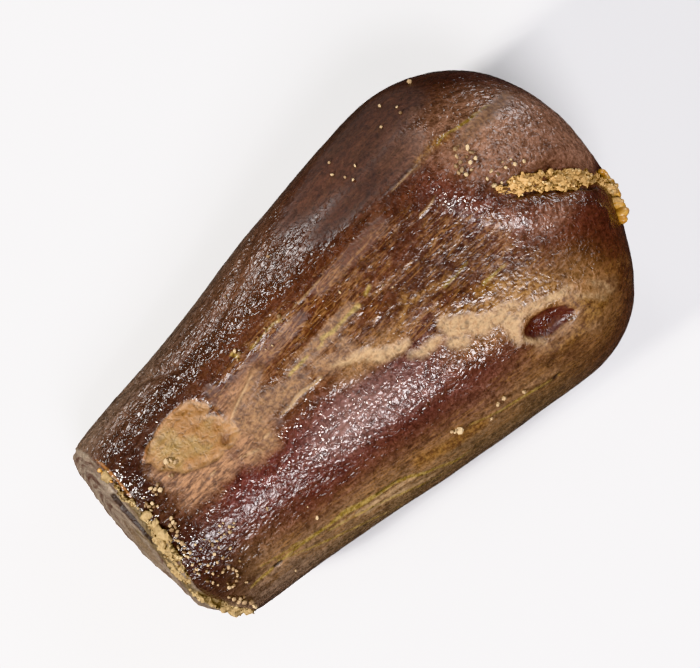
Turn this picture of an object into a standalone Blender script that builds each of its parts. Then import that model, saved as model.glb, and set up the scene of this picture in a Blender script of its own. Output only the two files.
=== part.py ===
"""Fossil Spinosaurus tooth, worn round at its wide end and broken off at its narrow end.

The tooth lies on a flat worn along its underside. Its long axis runs along X: the rounded wide end is at +X
and the broken end at -X. Z is up. A place on the skin is given by its x and its angle around the tooth,
which is 0 at the top and grows towards +Y. A place on the broken face is given by its share of the way
from the middle of the face to its edge, and by the same angle.
Sandstone from the bed it lay in still fills a groove on the wide end and clings to the broken edge.
"""

import math

import bmesh
import bpy
from mathutils import Vector

MM = 0.001

# How far the finished pieces are moved, so that the middle of them all stands over the origin.
SHIFT = Vector((0.53, -0.19, 0.0))

# The tooth's body. Lengths are in millimetres and angles in degrees.
BREAK_X = -22.0
TIP_X = 21.5
DOME_X = 10.5
MIDDLE_HALF_WIDTH = 11.95
TAPER = 0.137
BOW = 0.25
HEIGHT_SHARE = 0.86
WORN_DEPTH = 0.4
WAIST_X, WAIST_SPREAD, WAIST_DIP = -10.5, 6.0, 0.28
TAPER_END_X, TAPER_EASE = 10.8, 1.3
BELLY_RISE, BELLY_SPREAD = 0.003, 70.0
DOME_FULLNESS, DOME_LEAN = 0.76, 0.15
CORNER_CLIMB, CORNER_ANGLE, CORNER_CUT = 56.0, -80.0, 0.18

# The long facet on top, between the shoulder ridge and the swelling: angles at the narrow and the wide end.
FACET_ENDS_X = (-20.0, 9.0)
RIDGE_ANGLES, RIDGE_HEIGHT, RIDGE_SPREAD = (30.0, 19.0), 0.28, 9.0
SWELL_ANGLES, SWELL_HEIGHT, SWELL_SPREAD = (-24.0, -49.0), 0.30, 16.0
FACET_DEPTH = 0.95

# The broken face: how far its edge lies behind it, by angle, and how its lower corner falls away.
CHIP_ANGLES, CHIP_SETBACK = (-25.0, 88.0), 0.6
LOW_SIDE_ANGLE, LOW_SIDE_SPREAD, LOW_SIDE_SETBACK = -128.0, 30.0, 1.6
EDGE_SETBACK = 0.2
CORNER_Y, CORNER_FALL = -5.4, 0.38
EDGE_SHARPNESS = 3.5

# Hollows in the skin: the places along each one, as (x, angle), then its half width and its depth.
HOLLOWS = {
    "groove": (((12.2, -5.0), (15.3, -12.0), (17.2, -16.0), (18.9, -22.0), (20.3, -36.0)), 1.4, 0.8),
    "chip": (((-17.0, 15.0), (-14.9, 14.0), (-15.6, 3.0), (-17.2, 1.0)), 2.3, 0.3),
    "oval": (((7.6, -46.0), (8.7, -48.0)), 1.5, 0.6),
    "pit": (((7.0, -72.0),), 0.8, 0.3),
}

# The sandstone: a gap to the tooth, then each piece's places, half widths and thickness along its length.
SAND_GAP = 0.32
GROOVE_SAND_X = (12.0, 13.6, 15.3, 17.2, 18.9, 19.9, 19.8, 19.0)
GROOVE_SAND_ANGLES = (-5.0, -8.0, -12.0, -16.0, -22.0, -31.0, -41.0, -49.0)
GROOVE_SAND_HALF_WIDTHS = (0.35, 0.6, 0.9, 1.25, 1.15, 0.8, 0.6, 0.4)
GROOVE_SAND_RISES = (0.15, 0.2, 0.25, 0.3, 0.3, 0.35, 0.5, 0.35)
END_SAND_ANGLES = (34.0, 4.0, -20.0, -42.0, -62.0, -80.0)
END_SAND_INNER = (0.95, 0.84, 0.60, 0.60, 0.80, 0.92)
END_SAND_OUTER = 0.995
END_SAND_RISE = 0.35

# How the meshes are divided. The angles crowd towards the top, where the finest shapes are.
AROUND = 76
TOP_CROWDING = 20.0
SIDE_RINGS = 25
DOME_RINGS = 15
BREAK_SHARES = (0.2, 0.4, 0.58, 0.72, 0.83, 0.91, 0.965)
SAND_ALONG = 18
SAND_ACROSS = 7


def bump(value, spread):
    """1 where the value is 0, falling away smoothly over the spread."""
    return math.exp(-((value / spread) ** 2))


def turn(angle, centre):
    """The signed angle from the centre, the short way round."""
    return (angle - centre + 180.0) % 360.0 - 180.0


def along(values, share):
    """A value read from evenly spaced ones, with smooth steps between them."""
    place = min(max(share, 0.0), 1.0) * (len(values) - 1)
    first = min(int(place), len(values) - 2)
    part = place - first
    part = part * part * (3.0 - 2.0 * part)
    return values[first] + (values[first + 1] - values[first]) * part


def half_width(x):
    """Half the tooth's width, before the wide end rounds off."""
    waist = WAIST_DIP * bump(x - WAIST_X, WAIST_SPREAD)
    eased_x = x - TAPER_EASE * math.log1p(math.exp((x - TAPER_END_X) / TAPER_EASE))
    return MIDDLE_HALF_WIDTH + TAPER * eased_x - waist


def relief_at(x, angle):
    """How far the skin stands out from the plain oval: the ridge, the facet, the swelling and the belly."""
    share = (x - FACET_ENDS_X[0]) / (FACET_ENDS_X[1] - FACET_ENDS_X[0])
    ridge = RIDGE_ANGLES[0] + (RIDGE_ANGLES[1] - RIDGE_ANGLES[0]) * share
    swell = SWELL_ANGLES[0] + (SWELL_ANGLES[1] - SWELL_ANGLES[0]) * share
    relief = RIDGE_HEIGHT * bump(turn(angle, ridge), RIDGE_SPREAD)
    relief += SWELL_HEIGHT * bump(turn(angle, swell), SWELL_SPREAD)
    across = turn(angle, swell) / (ridge - swell)
    if 0.0 < across < 1.0:
        relief -= FACET_DEPTH * math.sin(math.pi * across) ** 1.5
    return relief - BELLY_RISE * min(x, DOME_X) ** 2 * bump(turn(angle, 180.0), BELLY_SPREAD)


def section_point(x, angle, share=1.0):
    """A point on the section at x. A share under 1 lies inside the section."""
    wide = half_width(x)
    high = wide * HEIGHT_SHARE
    out = share * (1.0 + relief_at(x, angle) / wide)
    y = BOW * (1.0 - (x / BREAK_X) ** 2) + wide * math.sin(math.radians(angle)) * out
    z = high - WORN_DEPTH + high * math.cos(math.radians(angle)) * out
    return Vector((x, y, z))


def smooth_skin(x, angle):
    """A point on the tooth's skin, without its hollows."""
    if x <= DOME_X:
        return section_point(x, angle)
    climb = math.asin(min((x - DOME_X) / (TIP_X - DOME_X), 1.0))
    cut = CORNER_CUT * bump(math.degrees(climb) - CORNER_CLIMB, 15.0) * bump(turn(angle, CORNER_ANGLE), 38.0)
    fullness = DOME_FULLNESS - DOME_LEAN * math.sin(math.radians(angle))
    return section_point(x, angle, max(math.cos(climb), 0.0) ** fullness * (1.0 - cut))


def distance_to_path(point, path):
    """The distance from a point to the nearest of a path's straight pieces."""
    nearest = (point - path[0]).length
    for start, end in zip(path, path[1:]):
        run = end - start
        share = min(max((point - start).dot(run) / run.length_squared, 0.0), 1.0)
        nearest = min(nearest, (point - start - run * share).length)
    return nearest


HOLLOW_PATHS = {name: [smooth_skin(*place) for place in hollow[0]] for name, hollow in HOLLOWS.items()}


def hollow_depth(point):
    """How deep the skin is hollowed at a point."""
    depth = 0.0
    for name, (_, half, deepest) in HOLLOWS.items():
        away = distance_to_path(point, HOLLOW_PATHS[name]) / half
        depth = max(depth, deepest * math.exp(-(away**4)))
    return depth


def outward(x, angle):
    """The way the smooth skin faces."""
    step_x, step_angle = 0.05, 0.5
    if x > TIP_X - 2.0 * step_x:
        return Vector((1.0, 0.0, 0.0))
    run = smooth_skin(x + step_x, angle) - smooth_skin(x - step_x, angle)
    round_way = smooth_skin(x, angle + step_angle) - smooth_skin(x, angle - step_angle)
    return run.cross(round_way).normalized()


def worn(point):
    """The underside is worn flat where the tooth rests."""
    return Vector((point.x, point.y, max(point.z, 0.0)))


def skin(x, angle, lift=0.0):
    """A point on the tooth's real skin, or lifted off it."""
    point = smooth_skin(x, angle)
    return worn(point + outward(x, angle) * (lift - hollow_depth(point)))


def break_plane(y):
    """Where the broken face stands along X, at a distance from the middle."""
    return BREAK_X + CORNER_FALL * max(0.0, CORNER_Y - y) ** 1.5


def edge_setback(angle):
    """How far the broken edge lies behind the broken face."""
    low, high = CHIP_ANGLES
    chip = 1.0 / (1.0 + math.exp(-turn(angle, low) / 5.0)) / (1.0 + math.exp(turn(angle, high) / 5.0))
    low_side = bump(turn(angle, LOW_SIDE_ANGLE), LOW_SIDE_SPREAD)
    return EDGE_SETBACK + CHIP_SETBACK * chip + LOW_SIDE_SETBACK * low_side


def edge_x(angle):
    return break_plane(section_point(BREAK_X, angle).y) + edge_setback(angle)


def face_point(share, angle, lift=0.0):
    """A point on the broken face, or lifted off it."""
    edge = section_point(edge_x(angle), angle)
    point = section_point(BREAK_X, 0.0, 0.0).lerp(edge, share)
    point.x = break_plane(point.y) + (edge.x - break_plane(edge.y)) * share**EDGE_SHARPNESS - lift
    return worn(point)


def ring_angles():
    """The angles of the mesh's columns, closer together near the top."""
    even = [360.0 * i / AROUND for i in range(AROUND)]
    return [angle - TOP_CROWDING * math.sin(math.radians(angle)) for angle in even]


def bridge(mesh, rings):
    """Faces between each ring of vertices and the next."""
    for ring, following in zip(rings, rings[1:]):
        for i, vert in enumerate(ring):
            j = (i + 1) % len(ring)
            mesh.faces.new((vert, following[i], following[j], ring[j]))


def cap(mesh, ring, point):
    """A fan of faces from a ring to its middle point."""
    middle = mesh.verts.new(point * MM)
    for i, vert in enumerate(ring):
        mesh.faces.new((vert, ring[(i + 1) % len(ring)], middle))


def tooth_mesh():
    mesh = bmesh.new()
    angles = ring_angles()
    rings = [[face_point(share, angle) for angle in angles] for share in BREAK_SHARES]
    for i in range(SIDE_RINGS + 1):
        share = i / SIDE_RINGS
        rings.append([skin(edge_x(angle) + (DOME_X - edge_x(angle)) * share, angle) for angle in angles])
    for i in range(1, DOME_RINGS):
        x = DOME_X + (TIP_X - DOME_X) * math.sin(math.radians(90.0 * i / DOME_RINGS))
        rings.append([skin(x, angle) for angle in angles])
    verts = [[mesh.verts.new(point * MM) for point in ring] for ring in rings]
    bridge(mesh, verts)
    cap(mesh, verts[0], face_point(0.0, 0.0))
    cap(mesh, verts[-1], skin(TIP_X, 0.0))
    bmesh.ops.recalc_face_normals(mesh, faces=mesh.faces)
    return mesh


def crust_mesh(low_point, high_point):
    """A closed crust. Each of the two gives a point for a share along the crust and one across, -1 to 1."""
    mesh = bmesh.new()
    steps = [2.0 * j / (SAND_ACROSS - 1) - 1.0 for j in range(SAND_ACROSS)]
    rings = []
    for i in range(SAND_ALONG + 1):
        share = i / SAND_ALONG
        ring = [high_point(share, step) for step in steps]
        ring += [low_point(share, step) for step in reversed(steps)]
        rings.append([mesh.verts.new(point * MM) for point in ring])
    bridge(mesh, rings)
    for ring in (rings[0], rings[-1]):
        for j in range(SAND_ACROSS - 1):
            mesh.faces.new((ring[j], ring[j + 1], ring[-j - 2], ring[-j - 1]))
    bmesh.ops.recalc_face_normals(mesh, faces=mesh.faces)
    return mesh


def crown(share, step):
    """How thick a crust is at a place, from a little at its rim to 1 in its middle."""
    ends = math.sin(math.pi * min(max(share, 0.06), 0.94)) ** 0.5
    return 0.35 + 0.65 * ends * (1.0 - step * step)


def groove_sand_mesh():
    """The sandstone in the groove, which stands a little above the skin."""

    def place(share, step):
        half = along(GROOVE_SAND_HALF_WIDTHS, share)
        turned = math.degrees(half * step / half_width(DOME_X))
        return along(GROOVE_SAND_X, share), along(GROOVE_SAND_ANGLES, share) + turned

    def low_point(share, step):
        return skin(*place(share, step), SAND_GAP)

    def high_point(share, step):
        x, angle = place(share, step)
        point = smooth_skin(x, angle)
        rise = along(GROOVE_SAND_RISES, share) * crown(share, step)
        return point + outward(x, angle) * (SAND_GAP + rise)

    return crust_mesh(low_point, high_point)


def end_sand_mesh():
    """The crust on the broken face, along its upper edge."""

    def place(share, step):
        inner = along(END_SAND_INNER, share)
        return inner + (END_SAND_OUTER - inner) * (step + 1.0) / 2.0, along(END_SAND_ANGLES, share)

    def low_point(share, step):
        return face_point(*place(share, step), SAND_GAP)

    def high_point(share, step):
        return face_point(*place(share, step), SAND_GAP + END_SAND_RISE * crown(share, step))

    return crust_mesh(low_point, high_point)


def material(name, colour, roughness):
    made = bpy.data.materials.new(name)
    made.use_nodes = True
    shader = made.node_tree.nodes["Principled BSDF"]
    shader.inputs["Base Color"].default_value = (*colour, 1.0)
    shader.inputs["Roughness"].default_value = roughness
    shader.inputs["Metallic"].default_value = 0.0
    return made


def add_piece(name, mesh, finish):
    data = bpy.data.meshes.new(name)
    mesh.to_mesh(data)
    mesh.free()
    data.shade_smooth()
    data.materials.append(finish)
    piece = bpy.data.objects.new(name, data)
    piece.location = SHIFT * MM
    bpy.context.scene.collection.objects.link(piece)
    return piece


for old in list(bpy.data.objects):
    bpy.data.objects.remove(old, do_unlink=True)

sandstone = material("sandstone", (0.48, 0.30, 0.12), 0.85)
add_piece("tooth", tooth_mesh(), material("fossil_enamel", (0.09, 0.035, 0.02), 0.35))
add_piece("groove_sandstone", groove_sand_mesh(), sandstone)
add_piece("end_sandstone", end_sand_mesh(), sandstone)
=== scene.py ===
import math

import bpy
import numpy as np
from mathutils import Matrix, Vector
from mathutils.bvhtree import BVHTree


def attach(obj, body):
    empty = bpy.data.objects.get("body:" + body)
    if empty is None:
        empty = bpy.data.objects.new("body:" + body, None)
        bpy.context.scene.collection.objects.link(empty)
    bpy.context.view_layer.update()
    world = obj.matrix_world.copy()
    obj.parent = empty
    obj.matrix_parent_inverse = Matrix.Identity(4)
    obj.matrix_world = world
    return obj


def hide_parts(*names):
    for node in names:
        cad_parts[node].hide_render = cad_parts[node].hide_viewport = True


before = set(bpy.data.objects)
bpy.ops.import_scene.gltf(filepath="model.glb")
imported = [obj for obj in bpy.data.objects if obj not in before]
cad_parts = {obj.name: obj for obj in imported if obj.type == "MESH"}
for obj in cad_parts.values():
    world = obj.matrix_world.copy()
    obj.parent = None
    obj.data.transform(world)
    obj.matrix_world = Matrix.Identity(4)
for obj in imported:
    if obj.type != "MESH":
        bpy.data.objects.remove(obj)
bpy.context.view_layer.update()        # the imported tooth, its sandstone and its one body
scene = bpy.context.scene
mm = 0.001               # lengths here are in millimetres and angles in degrees, unless a note says otherwise

# colours by name, as 8-bit screen values
palette = {
    "umber": (90, 58, 45),
    "cocoa": (76, 44, 31),
    "night": (58, 36, 31),
    # dustAndSheen: pale grey, a painted sheen along the upper flank's edge, and dust on the lower flank
    "dustAndSheen": (140, 116, 98),
    "rust": (86, 47, 31),
    "chestnut": (100, 56, 38),
    "plum": (100, 58, 54),
    "wine": (84, 42, 38),
    "fawn": (134, 104, 77),
    "olive": (128, 104, 76),
    "hazel": (102, 66, 44),
    "rose": (124, 88, 68),
    "ash": (152, 133, 113),
    "ochre": (162, 112, 58),
    "tan": (178, 134, 90),
    "cream": (204, 168, 124),
    "amber": (176, 122, 58),
    "straw": (190, 160, 92),
    "mould": (142, 116, 52),
    # recessShade: near-black painted into cracks and the slot, a painted shade in these recesses
    "recessShade": (46, 25, 14),
    "sand": (180, 145, 94),
    "sandPale": (210, 182, 134),
    "sandDark": (106, 76, 42),
    "endSand": (132, 111, 76),
    "endSandPale": (168, 149, 111),
    "endSandDark": (92, 70, 38),
    "amberBead": (206, 160, 84),
    "spot": (120, 76, 40),
    "paleTan": (172, 130, 90),
    # mauveAndSheen: the dome's pinkish-grey tone, lightened into a painted reflection of the floor and
    # painted glints
    "mauveAndSheen": (188, 142, 118),
    "looseGrain": (142, 119, 90),
    "looseGrainPale": (178, 156, 122),
    "looseGrainDark": (104, 82, 58),
    "orange": (120, 70, 40),
    "thread": (176, 128, 82),
    "gold": (168, 122, 62),
    "pinkBone": (188, 138, 98),
    "paleOchre": (166, 132, 76),
    "rimTan": (190, 130, 78),
    # lilacGlint: a lavender lift, a painted glint sheen over the swell
    "lilacGlint": (142, 112, 106),
}


def linear(name):
    values = [c / 255.0 for c in palette[name]]
    return [c / 12.92 if c <= 0.04045 else ((c + 0.055) / 1.055) ** 2.4 for c in values] + [1.0]


# the tooth's body, the same shape as its solid: x runs along it, angle 0 is on top and grows towards +Y
toothShape = {
    "shift": (0.53, -0.19, 0.0),
    "breakX": -22.0,
    "domeX": 10.5,
    "tipX": 21.5,
    "halfWidth": 11.95,
    "taper": 0.137,
    "bow": 0.25,
    "heightShare": 0.86,
    "wornDepth": 0.4,
    "waist": {"x": -10.5, "spread": 6.0, "dip": 0.28},
    "taperEnd": {"x": 10.8, "ease": 1.3},
    "belly": {"rise": 0.003, "spread": 70.0},
    "dome": {"fullness": 0.76, "lean": 0.15},
    "corner": {"climb": 56.0, "climbSpread": 15.0, "angle": -80.0, "angleSpread": 38.0, "cut": 0.18},
    "facetEnds": (-20.0, 9.0),
    "facetDepth": 0.95,
    "ridge": {"angles": (30.0, 19.0), "height": 0.28, "spread": 9.0},
    "swell": {"angles": (-24.0, -49.0), "height": 0.30, "spread": 16.0},
    "chipSetback": {"angles": (-25.0, 88.0), "depth": 0.6, "soft": 5.0},
    "lowSetback": {"angle": -128.0, "spread": 30.0, "depth": 1.6},
    "edgeSetback": 0.2,
    "cornerFall": {"y": -5.4, "fall": 0.38},
    "edgeSharpness": 3.5,
}

# how finely the tooth is divided; its columns crowd towards the top
toothGrid = {"around": 440, "crowding": 20.0, "faceRows": 36, "sideRows": 146, "domeRows": 44}


def bell(value, spread):
    return np.exp(-((value / spread) ** 2))


def turned(angle, centre):
    return (angle - centre + 180.0) % 360.0 - 180.0


def ease(value, low, high):
    share = np.clip((value - low) / (high - low), 0.0, 1.0)
    return share * share * (3.0 - 2.0 * share)


def sine(angle):
    return np.sin(np.radians(angle))


def cosine(angle):
    return np.cos(np.radians(angle))


def halfWidth(x):
    s = toothShape
    dip = s["waist"]["dip"] * bell(x - s["waist"]["x"], s["waist"]["spread"])
    soft = s["taperEnd"]["ease"]
    easedX = x - soft * np.log1p(np.exp((x - s["taperEnd"]["x"]) / soft))
    return s["halfWidth"] + s["taper"] * easedX - dip


def reliefAt(x, angle):
    s = toothShape
    share = (x - s["facetEnds"][0]) / (s["facetEnds"][1] - s["facetEnds"][0])
    ridge = s["ridge"]["angles"][0] + (s["ridge"]["angles"][1] - s["ridge"]["angles"][0]) * share
    swell = s["swell"]["angles"][0] + (s["swell"]["angles"][1] - s["swell"]["angles"][0]) * share
    relief = s["ridge"]["height"] * bell(turned(angle, ridge), s["ridge"]["spread"])
    relief = relief + s["swell"]["height"] * bell(turned(angle, swell), s["swell"]["spread"])
    across = np.clip(turned(angle, swell) / (ridge - swell), 0.0, 1.0)
    relief = relief - s["facetDepth"] * np.maximum(np.sin(np.pi * across), 0.0) ** 1.5
    belly = s["belly"]["rise"] * np.minimum(x, s["domeX"]) ** 2
    return relief - belly * bell(turned(angle, 180.0), s["belly"]["spread"])


def sectionPoint(x, angle, share=1.0):
    s = toothShape
    wide = halfWidth(x)
    high = wide * s["heightShare"]
    out = share * (1.0 + reliefAt(x, angle) / wide)
    y = s["bow"] * (1.0 - (x / s["breakX"]) ** 2) + wide * sine(angle) * out
    z = high - s["wornDepth"] + high * cosine(angle) * out
    return np.stack(np.broadcast_arrays(x, y, z), axis=-1)


def domeShare(x, angle):
    s = toothShape
    climb = np.arcsin(np.clip((x - s["domeX"]) / (s["tipX"] - s["domeX"]), 0.0, 1.0))
    corner = s["corner"]
    cut = corner["cut"] * bell(np.degrees(climb) - corner["climb"], corner["climbSpread"])
    cut = cut * bell(turned(angle, corner["angle"]), corner["angleSpread"])
    fullness = s["dome"]["fullness"] - s["dome"]["lean"] * sine(angle)
    return np.maximum(np.cos(climb), 1e-9) ** fullness * (1.0 - cut)


def skinPoint(x, angle):
    x = np.asarray(x, float)
    return sectionPoint(x, angle, domeShare(x, angle))


def breakPlane(y):
    fall = toothShape["cornerFall"]
    return toothShape["breakX"] + fall["fall"] * np.maximum(0.0, fall["y"] - y) ** 1.5


def edgeX(angle):
    s = toothShape
    low, high = s["chipSetback"]["angles"]
    soft = s["chipSetback"]["soft"]
    chip = 1.0 / (1.0 + np.exp(-turned(angle, low) / soft)) / (1.0 + np.exp(turned(angle, high) / soft))
    lowSide = bell(turned(angle, s["lowSetback"]["angle"]), s["lowSetback"]["spread"])
    setback = s["edgeSetback"] + s["chipSetback"]["depth"] * chip + s["lowSetback"]["depth"] * lowSide
    return breakPlane(sectionPoint(s["breakX"], angle)[..., 1]) + setback


def facePoint(share, angle):
    s = toothShape
    edge = sectionPoint(edgeX(angle), angle)
    middle = sectionPoint(s["breakX"], 0.0, 0.0)
    point = middle + (edge - middle) * np.asarray(share, float)[..., None]
    bulge = (edge[..., 0] - breakPlane(edge[..., 1])) * share ** s["edgeSharpness"]
    point[..., 0] = breakPlane(point[..., 1]) + bulge
    return point


def outwardAt(x, angle):
    step = 0.05
    x = np.minimum(np.asarray(x, float), toothShape["tipX"] - 2.0 * step)
    run = skinPoint(x + step, angle) - skinPoint(x - step, angle)
    roundWay = skinPoint(x, angle + 0.5) - skinPoint(x, angle - 0.5)
    normal = np.cross(run, roundWay)
    return normal / np.linalg.norm(normal, axis=-1, keepdims=True)


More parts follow.
